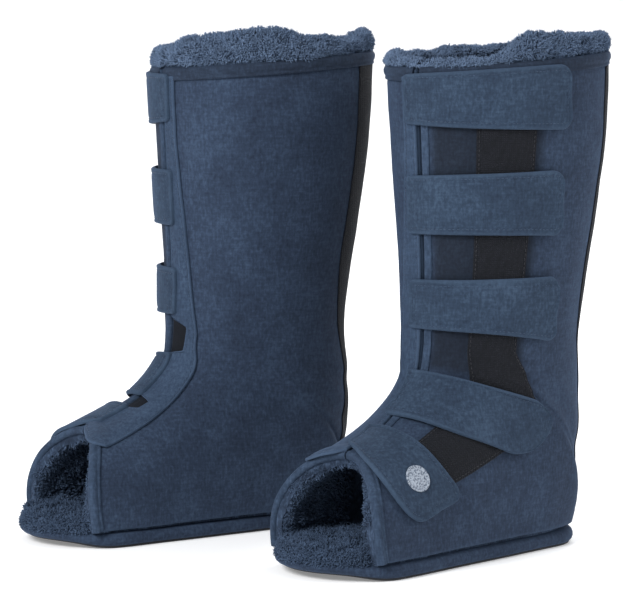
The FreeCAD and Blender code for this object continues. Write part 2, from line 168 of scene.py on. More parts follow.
LATTICE = np.random.RandomState(7).rand(4096)
PRIMES = 73856093, 19349663, 83492791       # they spread neighbouring cells over the lattice


def noise(points, scale, seed=0):
    """Smooth noise from -1 to 1; scale is the size of its lumps in metres."""
    p = np.asarray(points) / scale + seed * 17.3
    cell = np.floor(p).astype(np.int64)
    f = p - cell
    f = f * f * (3 - 2 * f)
    total = 0.0
    for corner in range(8):
        step = np.array([corner & 1, corner >> 1 & 1, corner >> 2 & 1])
        x, y, z = np.moveaxis((cell + step) * PRIMES, -1, 0)
        weight = np.prod(np.where(step, f, 1 - f), axis=-1)
        total = total + weight * LATTICE[((x ^ y ^ z) + seed * 101) & 4095]
    return 2 * total - 1


def smooth(value, low, high):
    """0 below low, 1 above high, smooth between."""
    t = np.clip((np.asarray(value, float) - low) / (high - low), 0, 1)
    return t * t * (3 - 2 * t)


def bump(value, centre, width):
    """Bell curve of height 1."""
    return np.exp(-((np.asarray(value, float) - centre) / width)**2)


# ---------------------------------------------------------------------------- the boots

SOLE_MOUNT_Y = -50 * MM     # where the sole's mount is in the boot's own frame


class Boot:
    """One boot: where it stands, and which way its outer side faces."""

    def __init__(self, name, outer, turn_degrees, seed):
        self.name = name
        self.outer = outer
        self.seed = seed
        self.random = np.random.RandomState(seed)
        angle = -math.radians(turn_degrees)
        c, s = math.cos(angle), math.sin(angle)
        self.turn = np.array([[c, -s, 0], [s, c, 0], [0, 0, 1]])
        mounts = {m["name"]: m for m in frame["record"]["mounts"]}
        sole = np.array(mounts[f"{name}_sole"]["pos_m"])
        self.origin = sole - self.turn @ np.array([0, SOLE_MOUNT_Y, 0])
        self.main = f"{name}_boot"
        self.flap = f"{name}_flap"

    def direction(self, vectors):
        """Directions from the boot's frame, outer side +X, in the frame of the pair."""
        return (np.array(vectors, float) * [self.outer, 1, 1]) @ self.turn.T

    def to_row(self, points):
        """The same for points."""
        return self.direction(points) + self.origin

    def relief(self, s, way):
        """Soft unevenness of the outer cloth: waves, and creases where the ankle bends."""
        p = skin(s, way)
        height = 0.9 * MM * noise(p, 46 * MM, self.seed)
        height = height + 0.35 * MM * noise(p, 19 * MM, self.seed + 3)
        ankle = bump(s, 6.6, 0.9) * smooth(np.abs(way), 0.2, 0.5)
        wave = np.sin(s * 8.0 + 5.0 * np.abs(way) + 2.5 * noise(p, 30 * MM, self.seed + 5))
        return height + 0.8 * MM * ankle * wave

    def lay(self, s, way, height):
        """Points at a height above the upper, in the frame of the pair."""
        s, way = np.broadcast_arrays(np.asarray(s, float), np.asarray(way, float))
        height = np.asarray(height, float) + self.relief(s, way)
        return self.to_row(skin(s, way) + skin_normal(s, way) * height[..., None])

    def normals(self, s, way):
        """Outward directions in the frame of the pair."""
        return self.direction(skin_normal(s, way))

    def bend_flap(self, piece):
        """Works out the flap's fold, but only bakes the piece's placement into its mesh; nothing
        bends.
        """
        s = np.linspace(FOLD_S, TOP, 40)
        still = self.lay(s, -(fold(s) + SPLIT), 0.0)
        low, high = skin(FOLD_S, -FOLD_LOW), skin(TOP, -FOLD_HIGH)
        middle = skin_normal((FOLD_S + TOP) / 2, -fold((FOLD_S + TOP) / 2))
        ahead = self.direction(unit(np.cross(middle, high - low)))
        ahead = ahead * np.sign((self.lay(TOP, 0.0, 0.0) - self.lay(TOP, -0.4, 0.0)) @ ahead)
        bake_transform(piece)

    def bend_facing(self, piece):
        """Only bakes the piece's placement into its mesh; nothing bends."""
        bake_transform(piece)

    def bend_strap(self, piece, number):
        """Works out the strap's root, but only bakes the piece's placement into its mesh;
        nothing bends.
        """
        row = STRAPS[number - 1]
        root = self.lay(*strap_place(row, 0.0, 0.5), STRAP_LOW)
        ahead = unit(self.lay(*strap_place(row, 0.12, 0.5), STRAP_LOW) - root)
        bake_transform(piece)


LEFT = Boot("left", 1, 46.0, 11)
RIGHT = Boot("right", -1, 58.0, 23)

# ------------------------------------------------------------------------------- straps

# Straps from the top down: station of the low and of the high edge at root, middle and
# end, then the way round of the free end at the low and at the high edge.
STRAPS = (
    ((11.02, 10.95, 10.91), (11.90, 11.93, 11.92), (0.48, 0.47)),
    ((9.57, 9.58, 9.57), (10.27, 10.31, 10.35), (0.485, 0.465)),
    ((8.20, 8.14, 7.96), (9.06, 9.09, 9.12), (0.52, 0.505)),
    ((1.95, 2.26, 3.38), (5.10, 5.18, 5.85), (0.685, 0.51)),
    ((0.26, 0.14, 0.85), (1.35, 1.48, 1.98), (0.835, 0.76)),
)
ROOT = 0.004                # way round of the hinge line at the straps' roots
STRAP_LOW = 3.0 * MM
STRAP_HIGH = 6.0 * MM
STRAP_CORNER = 9 * MM
TAB = 10 * MM               # the root is sewn this far onto the facing
TAB_CORNER = 4 * MM
TAB_DROP = 0.7 * MM


def through(values, share):
    """Parabola through three values at 0, a half and 1."""
    start, middle, end = values
    return (start * (1 - share) * (1 - 2 * share) + middle * 4 * share * (1 - share)
            + end * share * (2 * share - 1))


def strap_place(row, along, across):
    """Station and way round on a strap: along from root to free end, across its width."""
    low = through(row[0], along)
    high = through(row[1], along)
    end = row[2][0] + (row[2][1] - row[2][0]) * across
    return low + (high - low) * across, ROOT + (end - ROOT) * along


def strap_size(row):
    """Length of a strap's middle line from its root, and its width halfway."""
    points = skin(*strap_place(row, np.linspace(0, 1, 41), 0.5))
    across = skin(*strap_place(row, 0.5, 1.0)) - skin(*strap_place(row, 0.5, 0.0))
    return distances_along(points)[-1], np.linalg.norm(across)


# ------------------------------------------------------------------------- mesh makers

def plain_mesh(name, points, faces, material):
    """Smooth-shaded mesh in the scene, with one material."""
    mesh = bpy.data.meshes.new(name)
    mesh.from_pydata(np.asarray(points).tolist(), [], np.asarray(faces).tolist()
                     if isinstance(faces, np.ndarray) else faces)
    mesh.shade_smooth()
    mesh.materials.append(material)
    piece = bpy.data.objects.new(name, mesh)
    bpy.context.scene.collection.objects.link(piece)
    return piece


def mesh_object(name, points, faces, material, sharp_degrees=60):
    """The same, with outward normals and sharp edges."""
    piece = plain_mesh(name, points, faces, material)
    work = bmesh.new()
    work.from_mesh(piece.data)
    bmesh.ops.recalc_face_normals(work, faces=work.faces)
    work.to_mesh(piece.data)
    work.free()
    piece.data.set_sharp_from_angle(angle=math.radians(sharp_degrees))
    return piece


def store(piece, name, values):
    """Keep a value per point on the mesh, for its material."""
    stored = piece.data.attributes.new(name, "FLOAT", "POINT")
    stored.data.foreach_set("value", values.astype(np.float32))


def distances_along(points):
    """Distance walked along a line, at each of its points."""
    steps = np.linalg.norm(np.diff(points, axis=0), axis=1)
    return np.concatenate([[0], np.cumsum(steps)])


def marks(length, pitch, edge):
    """Shares from 0 to 1, a pitch apart in the middle and closer over the rounded edges."""
    near = np.array([0.0, 0.05, 0.2, 0.5]) * edge
    count = max(int(round((length - 2 * edge) / pitch)), 1)
    inner = np.linspace(edge, length - edge, count + 1)
    return np.concatenate([near, inner, length - near[::-1]]) / length


def walk(points, axis):
    """Distances walked along a grid's lines, from their start and to their end."""
    steps = np.linalg.norm(np.diff(points, axis=axis), axis=-1)
    pad = [(0, 0), (0, 0)]
    pad[axis] = (1, 0)
    done = np.cumsum(np.pad(steps, pad), axis=axis)
    return done, np.take(done, [-1], axis=axis) - done


def rounded(distance, radius):
    """Share of the full height at a distance inside a rounded edge."""
    t = np.clip(distance / radius, 0, 1)
    return 0.12 + 0.88 * np.sqrt(1 - (1 - t)**2)


def slab(upper, lower, keep=None):
    """Points, faces and kept point numbers of a solid between two grids."""
    rows, columns = upper.shape[:2]
    index = np.arange(rows * columns).reshape(rows, columns)
    if keep is None:
        keep = np.ones((rows - 1, columns - 1), bool)
    quads = np.stack([index[:-1, :-1], index[1:, :-1], index[1:, 1:], index[:-1, 1:]], -1)
    top = quads[keep]
    padded = np.pad(keep, 1)
    lines = padded[:-1, 1:-1] != padded[1:, 1:-1]
    along = np.stack([index[:, :-1][lines], index[:, 1:][lines]], -1)
    lines = padded[1:-1, :-1] != padded[1:-1, 1:]
    across = np.stack([index[:-1][lines], index[1:][lines]], -1)
    rim = np.concatenate([along, across])
    shift = rows * columns
    walls = np.stack([rim[:, 0], rim[:, 1], rim[:, 1] + shift, rim[:, 0] + shift], -1)
    faces = np.concatenate([top, top[:, ::-1] + shift, walls])
    points = np.concatenate([upper.reshape(-1, 3), lower.reshape(-1, 3)])
    used = np.unique(faces)
    order = np.zeros(len(points), int)
    order[used] = np.arange(len(used))
    return points[used], order[faces], used


PALE_EDGE_WIDTH = 1.9 * MM       # the nap is paler this near a rounded edge


def layer(boot, name, place, low, high, material, pitch=3 * MM, edge=1.2 * MM,
          swell=None, keep=None, under=None, shade=None):
    """Cloth between two heights; place(u, v) gives stations and ways round over a patch.

    The upper face is rounded off over the edge's width on all four sides.  swell adds to
    that face and under to the lower one; keep(s, way) says which cells are made;
    shade(s, way) says where shade is painted into the cloth's colour.
    """
    even = np.linspace(0, 1, 25)
    coarse = skin(*place(*np.meshgrid(even, even, indexing="ij")))
    u = marks(walk(coarse, 0)[0][-1].max(), pitch, edge)
    v = marks(walk(coarse, 1)[0][:, -1].max(), pitch, edge)
    s, way = np.broadcast_arrays(*place(*np.meshgrid(u, v, indexing="ij")))
    flat = skin(s, way)
    distances = walk(flat, 0) + walk(flat, 1)
    share = np.prod([rounded(distance, edge) for distance in distances], axis=0)
    near = np.min(distances, axis=0)
    low = low(s, way) if callable(low) else low
    high = high(s, way) if callable(high) else high
    extra = swell(s, way, near) if swell else 0.0
    upper = boot.lay(s, way, low + (high - low) * share + extra * share)
    lower = boot.lay(s, way, low + (under(s, way) if under else 0.0) * np.ones_like(s))
    middle = (s[:-1, :-1] + s[1:, 1:]) / 2, (way[:-1, :-1] + way[1:, 1:]) / 2
    points, faces, used = slab(upper, lower, keep(*middle) if keep else None)
    piece = mesh_object(f"{boot.name}_{name}", points, faces, material)
    store(piece, "pale_edge", np.tile(np.exp(-(near / PALE_EDGE_WIDTH)**2).ravel(), 2)[used])
    if shade is not None:
        # Painted shade, kept per point for the cloth's material.
        store(piece, "flat", np.tile(shade(s, way).ravel(), 2)[used])
    return piece


def tube_faces(rows, corners, step=-1):
    """Faces of a tube through rings of points, closed at both ends, which step turns."""
    index = np.arange(rows * corners).reshape(rows, corners)
    after = np.roll(index, -1, axis=1)
    faces = np.stack([index[:-1], after[:-1], after[1:], index[1:]], -1).reshape(-1, 4)
    return faces.tolist() + [index[0][::step].tolist(), index[-1][::-step].tolist()]


def rings(centres, normals, side, profile):
    """Points and faces of a solid: a closed profile of (sideways, up) along a line."""
    profile = np.broadcast_to(profile, (len(centres),) + profile.shape[-2:])
    points = (centres[:, None] + side[:, None] * profile[..., :1]
              + normals[:, None] * profile[..., 1:])
    return points.reshape(-1, 3), tube_faces(*profile.shape[:2])


def edge_line(boot, s, way, inside):
    """A line on the upper: points, normals and sideways directions, inwards by a step."""
    centres = boot.lay(s, way, 0.0)
    normals = boot.normals(s, way)
    step = boot.lay(s + inside[0], way + inside[1], 0.0) - centres
    side = unit(np.cross(normals, unit(np.gradient(centres, axis=0))))
    return centres, normals, side * np.sign(np.sum(side * step, -1, keepdims=True))


def dress(boot, piece, slot, body, *nodes):
    """A piece follows a body or goes through a bend function, and hides CAD nodes; the slot is
    not used.
    """
    if nodes:
        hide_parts(*(f"{boot.name}_{node}" for node in nodes))
    if callable(body):
        body(piece)
    else:
        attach(piece, body)


def binding(boot, name, s, way, inside, profile, body, node):
    """A rolled edge along a line of the upper, its height wavering a little."""
    centres, normals, side = edge_line(boot, s, way, inside)
    waver = 1 + 0.12 * noise(centres, 14 * MM, boot.seed + 9)
    points, faces = rings(centres, normals * waver[:, None], side, np.array(profile) * MM)
    # Hems get the darker copy of the trim cloth, which paints the shade under the fleece.
    material = SHADED_HEM_CLOTH if "hem" in name else TRIM_CLOTH
    edge = mesh_object(f"{boot.name}_{name}", points, faces, material, 80)
    dress(boot, edge, "trim_fabric", body, node)


def join(parts):
    """Merge several (points, faces) into one."""
    count = 0
    points = []
    faces = []
    for part_points, part_faces in parts:
        points.append(part_points)
        faces.extend([[index + count for index in face] for face in part_faces])
        count += len(part_points)
    return np.concatenate(points), faces


# ----------------------------------------------------------------------------- stitches

STITCH_STEPS = 6            # rings in one stitch; one more step is the gap to the next
STITCH_PITCH = 3.6 * MM
THREAD = 0.34 * MM
DIP = np.array([-0.8, 0.2, 0.6, 0.6, 0.2, -0.8]) * THREAD
FAT = np.array([0.6, 0.95, 1.0, 1.0, 0.95, 0.6]) * THREAD


def stitches(lines):
    """Points and faces of thread dashes along lines of (points, normals)."""
    angles = np.arange(5) * 2 * math.pi / 5
    circle = np.stack([np.cos(angles), 0.8 * np.sin(angles)], -1)
    parts = []
    for points, normals in lines:
        done = distances_along(points)
        at = np.arange(0, done[-1], STITCH_PITCH / (STITCH_STEPS + 1))
        even = np.stack([np.interp(at, done, points[:, k]) for k in range(3)], 1)
        up = unit(np.stack([np.interp(at, done, normals[:, k]) for k in range(3)], 1))
        tangent = unit(np.gradient(even, axis=0))
        side = unit(np.cross(tangent, up))
        for first in range(0, len(even) - STITCH_STEPS, STITCH_STEPS + 1):
            span = slice(first, first + STITCH_STEPS)
            parts.append(rings(even[span] + up[span] * DIP[:, None], up[span], side[span],
                               circle * FAT[:, None, None]))
    return join(parts)


def seam_line(boot, s, way, height):
    """Line on the upper for stitches: points and normals."""
    return boot.lay(s, way, height), boot.normals(s, way)


def seam(boot, name, lines, material, slot, body):
    """Stitched lines as one piece."""
    points, faces = stitches(lines)
    dress(boot, mesh_object(f"{boot.name}_{name}", points, faces, material), slot, body)


# --------------------------------------------------------------------------- fleece pile

# Along a lock: share of its length, sideways bow and thickness, from the root to the tip.
LOCK_SHARES = np.array([0.0, 0.38, 0.74, 1.0])
LOCK_BOW = np.array([0.0, 0.10, 0.30, 0.62])
LOCK_GIRTH = np.array([1.0, 0.95, 0.62])
LOCK_REACH = 0.92           # the tip's share along the lock's heading
LOCK_POINTS = 10            # three rings of three points, and the tip


def lock_faces():
    """Faces of one lock: two bands of triangles, the tip's fan and the root."""
    faces = []
    for low in range(0, 6, 3):
        for k in range(3):
            a, b = low + k, low + (k + 1) % 3
            faces.append((a, b, b + 3))
            faces.append((a, b + 3, a + 3))
    faces.extend((6 + k, 6 + (k + 1) % 3, 9) for k in range(3))
    return faces + [(2, 1, 0)]


def pile(boot, name, roots, normals, length, seed, material=None, width=1.15 * MM,
         clump=9 * MM, lean=0):
    """Curly tapered locks of fleece standing on root points, as one mesh."""
    random = boot.random
    count = len(roots)
    drift = np.stack([noise(roots, clump, boot.seed + seed + k) for k in range(3)], -1)
    wild = random.normal(0, 0.28, (count, 3))
    heading = unit(normals + 1.05 * drift + wild + lean)
    reach = length * random.uniform(0.65, 1.25, count)[:, None]
    curl = unit(np.cross(heading, random.normal(0, 1, (count, 3))))
    other = np.cross(heading, curl)
    corners = []
    for share, bend, fat in zip(LOCK_SHARES, LOCK_BOW, LOCK_GIRTH * width):
        centre = roots + heading * reach * share + curl * reach * bend
        size = fat * random.uniform(0.75, 1.25, count)[:, None]
        for angle in np.arange(3) * 2 * math.pi / 3:
            corners.append(centre + (curl * math.cos(angle) + other * math.sin(angle)) * size)
    corners.append(roots + heading * reach * LOCK_REACH + curl * reach * LOCK_BOW[3])
    points = np.stack(corners, 1).reshape(-1, 3)
    starts = LOCK_POINTS * np.arange(count)[:, None, None]
    faces = (np.array(lock_faces()) + starts).reshape(-1, 3)
    piece = plain_mesh(f"{boot.name}_{name}", points, faces, material or FLEECE)
    # Share along each lock, which the fleece material uses for painted shade at the root.
    store(piece, "lock", np.tile(np.repeat(LOCK_SHARES, [3, 3, 3, 1]), count))
    return piece


def scatter(random, count, low, high):
    """Even random values between two bounds."""
    return low + (high - low) * random.rand(count)


# ---------------------------------------------------------------------------- materials

def new_material(name, roughness, sheen=0.0, sheen_roughness=0.5, tint=(1, 1, 1, 1)):
    """A material with its principled shader: (material, node tree, shader)."""
    material = bpy.data.materials.new(name)
    material.use_nodes = True
    tree = material.node_tree
    shader = tree.nodes["Principled BSDF"]
    shader.inputs["Roughness"].default_value = roughness
    shader.inputs["Specular IOR Level"].default_value = 0.25
    shader.inputs["Sheen Weight"].default_value = sheen
    shader.inputs["Sheen Roughness"].default_value = sheen_roughness
    shader.inputs["Sheen Tint"].default_value = tint
    return material, tree, shader


def texture(tree, kind, scale, stretch=(1, 1, 1), **values):
    """A procedural texture in object space; scale is in features per metre."""
    place = tree.nodes.new("ShaderNodeTexCoord")
    mapping = tree.nodes.new("ShaderNodeMapping")
    mapping.inputs["Scale"].default_value = stretch
    node = tree.nodes.new(f"ShaderNodeTex{kind}")
    tree.links.new(place.outputs["Object"], mapping.inputs["Vector"])
    tree.links.new(mapping.outputs["Vector"], node.inputs["Vector"])
    node.inputs["Scale"].default_value = scale
    for socket, value in values.items():
        node.inputs[socket].default_value = value
    return node.outputs["Distance" if kind == "Voronoi" else "Fac"]


def maths(tree, operation, first, second):
    """A sum, product or the like of two sockets or numbers."""
    node = tree.nodes.new("ShaderNodeMath")
    node.operation = operation
    for socket, value in zip(node.inputs, (first, second)):
        if isinstance(value, (int, float)):
            socket.default_value = value
        else:
            tree.links.new(value, socket)
    return node.outputs[0]


def weigh(tree, *terms):
    """Sum of sockets, each times its weight."""
    total = None
    for socket, weight in terms:
        part = maths(tree, "MULTIPLY", socket, weight)
        total = part if total is None else maths(tree, "ADD", total, part)
    return total


def ramp(tree, factor, stops):
    """Colours along a factor: stops are (position, (r, g, b))."""
    node = tree.nodes.new("ShaderNodeValToRGB")
    elements = node.color_ramp.elements
    while len(elements) < len(stops):
        elements.new(0.5)
    for element, (position, colour) in zip(elements, stops):
        element.position = position
        element.color = (*colour, 1)
    tree.links.new(factor, node.inputs[0])
    return node.outputs[0]


def blend_colours(tree, factor, first, second):
    """Mix of two colours by a factor."""
    node = tree.nodes.new("ShaderNodeMix")
    node.data_type = "RGBA"
    for socket, value in ((node.inputs[0], factor), (node.inputs[6], first),
                          (node.inputs[7], second)):
        if isinstance(value, (int, float)):
            socket.default_value = value
        elif isinstance(value, tuple):
            socket.default_value = (*value, 1)
        else:
            tree.links.new(value, socket)
    return node.outputs[2]


def attribute(tree, name):
    """A value stored on the mesh, 0 where there is none."""
    node = tree.nodes.new("ShaderNodeAttribute")
    node.attribute_name = name
    return node.outputs["Fac"]


def surface(tree, shader, colour, height, distance, strength):
    """Colour the shader, and bump it by a height."""
    tree.links.new(colour, shader.inputs["Base Color"])
    node = tree.nodes.new("ShaderNodeBump")
    node.inputs["Distance"].default_value = distance
    node.inputs["Strength"].default_value = strength
    tree.links.new(height, node.inputs["Height"])
    tree.links.new(node.outputs["Normal"], shader.inputs["Normal"])


def brushed_cloth(name, dark, middle, light):
    """Napped wool-like cloth: flecked yarns, soft patches, a faint weave, paler edges, painted
    shade.
    """
    material, tree, shader = new_material(name, 0.92, 0.16, 0.35, (0.26, 0.45, 0.85, 1))
    flecks = texture(tree, "Noise", 420, (1, 1, 0.7), Detail=3.0, Roughness=0.65)
    down = texture(tree, "Noise", 620, (1, 1, 0.16), Detail=1.5)
    round_about = texture(tree, "Noise", 620, (0.16, 0.16, 1), Detail=1.5)
    patches = texture(tree, "Noise", 26, Detail=4.0, Roughness=0.6)
    yarn = weigh(tree, (down, 0.5), (round_about, 0.5))
    fleck = weigh(tree, (flecks, 0.55), (yarn, 0.45))
    tone = weigh(tree, (fleck, 0.72), (patches, 0.28))
    colour = ramp(tree, tone, ((0.36, dark), (0.5, middle), (0.66, light)))
    # Paler colour near the rounded edges.
    colour = blend_colours(tree, weigh(tree, (attribute(tree, "pale_edge"), 0.6)), colour, light)
    # Painted shade: a far darker navy, mixed in as far as the mesh's stored shade value says.
    painted_shade = tuple(0.15 * c for c in dark)
    colour = blend_colours(tree, attribute(tree, "flat"), colour, painted_shade)
    fuzz = texture(tree, "Noise", 900, Detail=2.0)
    surface(tree, shader, colour, weigh(tree, (yarn, 0.6), (fuzz, 0.4)), 0.5 * MM, 0.8)
    return material


def fleece_cloth(name, deep, middle, tip):
    """Deep pile: painted shade at the roots of the locks, paler towards the tips, and paler on
    the lumps.
    """
    material, tree, shader = new_material(name, 0.95, 0.2, 0.4, (0.32, 0.50, 0.85, 1))
    lumps = texture(tree, "Noise", 140, Detail=3.0)
    strands = texture(tree, "Noise", 700, (1, 1, 0.35), Detail=2.0)
    tone = weigh(tree, (lumps, 0.55), (strands, 0.45))
    colour = ramp(tree, tone, ((0.34, deep), (0.52, middle), (0.7, tip)))
    # Painted shade: each lock darkens towards its root, where the locks shade each other.
    colour = blend_colours(tree, weigh(tree, (attribute(tree, "lock"), 0.6)), colour, tip)
    surface(tree, shader, colour, tone, 1.6 * MM, 1.0)
    return material


def loop_pile(name):
    """Near-black loop tape: tiny round loops in staggered rows."""
    material, tree, shader = new_material(name, 0.95, 0.05, 0.4, (0.5, 0.55, 0.65, 1))
    loops = texture(tree, "Voronoi", 620, Randomness=0.35)
    fuzz = texture(tree, "Noise", 260, Detail=2.0)
    tone = weigh(tree, (loops, 0.8), (fuzz, 0.3))
    colour = ramp(tree, tone, ((0.1, (0.015, 0.017, 0.024)), (0.4, (0.007, 0.008, 0.012)),
                               (0.8, (0.003, 0.004, 0.006))))
    surface(tree, shader, colour, loops, 0.9 * MM, 0.9)
    return material


def woven_tape(name, dark, light):
    """Close ribbed tape, for the back seam and the hook patches."""
    material, tree, shader = new_material(name, 0.8, 0.2, 0.4, (0.6, 0.65, 0.8, 1))
    ribs = texture(tree, "Noise", 900, (0.3, 0.3, 1.6), Detail=1.0)
    patches = texture(tree, "Noise", 60, Detail=2.0)
    tone = weigh(tree, (ribs, 0.6), (patches, 0.4))
    colour = ramp(tree, tone, ((0.35, dark), (0.65, light)))
    surface(tree, shader, colour, ribs, 0.4 * MM, 0.8)
    return material


def rubber(name, dark, light):
    """Matt moulded rubber with a fine grain and dusty patches."""
    material, tree, shader = new_material(name, 0.7)
    grain = texture(tree, "Noise", 1100, Detail=2.0)
    dust = texture(tree, "Noise", 35, Detail=5.0, Roughness=0.7)
    rough = ramp(tree, dust, ((0.3, (0.6, 0.6, 0.6)), (0.7, (0.85, 0.85, 0.85))))
    tree.links.new(rough, shader.inputs["Roughness"])
    colour = ramp(tree, dust, ((0.35, dark), (0.7, light)))
    surface(tree, shader, colour, grain, 0.25 * MM, 0.6)
    return material


def thread(name, dark, light):
    """Twisted sewing thread."""
    material, tree, shader = new_material(name, 0.6, 0.2, 0.3)
    twist = texture(tree, "Noise", 1500, Detail=1.0)
    colour = ramp(tree, twist, ((0.35, dark), (0.65, light)))
    surface(tree, shader, colour, twist, 0.15 * MM, 0.7)
    return material


def printed_badge(name):
    """Pale printed film, a little speckled where the cloth shows through."""
    material, tree, shader = new_material(name, 0.45)
    specks = texture(tree, "Noise", 800, Detail=2.0)
    colour = ramp(tree, specks, ((0.38, (0.06, 0.08, 0.12)), (0.56, (0.30, 0.34, 0.40))))
    surface(tree, shader, colour, specks, 0.2 * MM, 0.5)
    return material


NAVY = brushed_cloth("navy_cloth", (0.010, 0.017, 0.034), (0.019, 0.032, 0.060),
                     (0.036, 0.060, 0.104))
STRAP_CLOTH = brushed_cloth("strap_cloth", (0.011, 0.020, 0.039), (0.020, 0.036, 0.064),
                            (0.040, 0.067, 0.111))
FACING_CLOTH = brushed_cloth("facing_cloth", (0.013, 0.023, 0.045), (0.024, 0.042, 0.076),
                             (0.044, 0.072, 0.122))
TRIM_CLOTH = brushed_cloth("trim_cloth", (0.012, 0.021, 0.041), (0.023, 0.040, 0.072),
                           (0.045, 0.072, 0.122))
# Painted shade: a darker copy of the trim cloth for the hem, which lies in shade under the
# fleece.
SHADED_HEM_CLOTH = brushed_cloth("shaded_hem_cloth", (0.007, 0.012, 0.024), (0.013, 0.022, 0.041),
                          (0.026, 0.043, 0.075))
FLEECE = fleece_cloth("fleece", (0.007, 0.012, 0.025), (0.020, 0.034, 0.062),
                      (0.056, 0.088, 0.148))
# Painted light: a much paler copy of the fleece for the top edge, where the light falls on it.
LIT_CUFF_FLEECE = fleece_cloth("cuff_fleece", (0.018, 0.029, 0.054), (0.054, 0.084, 0.140),
                           (0.150, 0.215, 0.330))
LOOP = loop_pile("loop_tape")
HOOK = woven_tape("hook_tape", (0.006, 0.007, 0.010), (0.016, 0.018, 0.024))
SEAM_TAPE = woven_tape("seam_tape", (0.007, 0.008, 0.013), (0.020, 0.024, 0.036))
RUBBER = rubber("sole_rubber", (0.010, 0.011, 0.014), (0.028, 0.030, 0.036))
THREAD_NAVY = thread("navy_thread", (0.014, 0.026, 0.052), (0.040, 0.066, 0.115))
THREAD_BLACK = thread("black_thread", (0.008, 0.009, 0.012), (0.03, 0.032, 0.04))
BADGE = printed_badge("badge_film")


# ---------------------------------------------------------------- the upper's own pieces

PANEL = 4.0 * MM            # thickness of the outer cloth
LINING_TOP = -4.3 * MM
LINING_LOW = -12.0 * MM
BAND_LOW = 0.15 * MM
HEM_S = 11.84               # lower edge of the hem band
CUT_S = 11.97               # the cloth's raw top edge, inside the hem
TOE_S = 0.03


def split(s):
    """Way round at which the flap's cloth meets the rest of the inner side."""
    return fold(s) + SPLIT


def inner_place(u, v, seam=SEAM):
    """The inner side, with its first columns running along the split line."""
    s = TOE_S + (CUT_S - TOE_S) * u
    share = 0.35
    line = split(s)
    ahead = line * v / share
    behind = line + (seam - line) * (v - share) / (1 - share)
    return s, -np.where(v < share, ahead, behind)


def on_flap(s, way):
    """True on the opening flap."""
    return (s > FOLD_S) & (-way < split(s))


def off_flap(s, way):
    """True on the rest of the inner side."""
    return ~on_flap(s, way)


def outer_place(u, v, seam=SEAM):
    """The outer side, from its front edge to the back seam."""
    return TOE_S + (CUT_S - TOE_S) * u, SLIT + (seam - SLIT) * v


def whole(place):
    """The same patch for a lining, which meets its neighbour at the back seam."""
    return lambda u, v: place(u, v, 1.0)


def upper_swell(boot):
    """Thread grooves, and cloth that puffs up between the bands sewn to it."""
    def swell(s, way, near):
        tape_front, tape_back = tape_edges(s)
        puff = 0.0
        for edge in (tape_front - 0.012, tape_back + 0.012):
            puff = puff - 0.5 * MM * bump(way, edge, 0.012)
        puff = puff - 0.7 * MM * bump(-way, facing_edge(s) + 0.006, 0.012)
        puff = puff - 0.8 * MM * bump(s, HEM_S - 0.04, 0.05)
        return puff + 0.12 * MM * noise(skin(s, way), 5 * MM, boot.seed + 13)
    return swell


def shade_beside_tape(s, way):
    """Painted shade between the slit and the tape, where the straps shade the cloth."""
    front = tape_edges(s)[0]
    ahead = smooth(way, 0.03, 0.07) * (1 - smooth(way, front + 0.19, front + 0.23))
    return 0.68 * ahead * smooth(s, 5, 6)


def pile_share(s, way):
    """Thickness of the fleece, thinner over the top of the toe mouth."""
    return 1 - 0.5 * bump(way, 0, 0.42) * (1 - smooth(s, 1.6, 3.0))


def lining_low(s, way):
    """Height of the lining's inner face."""
    return LINING_TOP + (LINING_LOW - LINING_TOP) * pile_share(s, way)


def fleece_lumps(boot):
    """Uneven inner face of the fleece lining."""
    def lumps(s, way):
        p = skin(s, way)
        return (2.0 * MM * noise(p, 11 * MM, boot.seed + 21)
                + 1.0 * MM * noise(p, 5 * MM, boot.seed + 22))
    return lumps


def make_upper(boot):
    """Outer cloth and fleece lining of both sides and of the flap."""
    swell = upper_swell(boot)
    lumps = fleece_lumps(boot)

    def shade_in_gape(s, way):
        # Painted shade where the slit gapes, up to the facing that covers it.
        covered = smooth(-way, facing_edge(s) - 0.05, facing_edge(s) - 0.01)
        return smooth(facing_gape(boot, s), 0.004, 0.03) * (1 - covered)

    for word, place, keep, shade, body, parts in (
            ("outer", outer_place, None, shade_beside_tape, boot.main, ("outer_foot", "outer_shaft")),
            ("inner", inner_place, off_flap, shade_in_gape, boot.main, ("inner_foot", "inner_shaft")),
            ("flap", inner_place, on_flap, shade_in_gape, boot.bend_flap, ("flap",))):
        cloth = layer(boot, f"{word}_upper", place, -PANEL, 0.0, NAVY, 2.4 * MM,
                      swell=swell, keep=keep, shade=shade)
        dress(boot, cloth, "navy_fabric", body, *(f"{part}_panel" for part in parts))
        lining = layer(boot, f"{word}_fleece", whole(place), lining_low, LINING_TOP, FLEECE,
                       3.5 * MM, 0.5 * MM, under=lumps, keep=keep)
        dress(boot, lining, "fleece", body, *(f"{part}_lining" for part in parts))


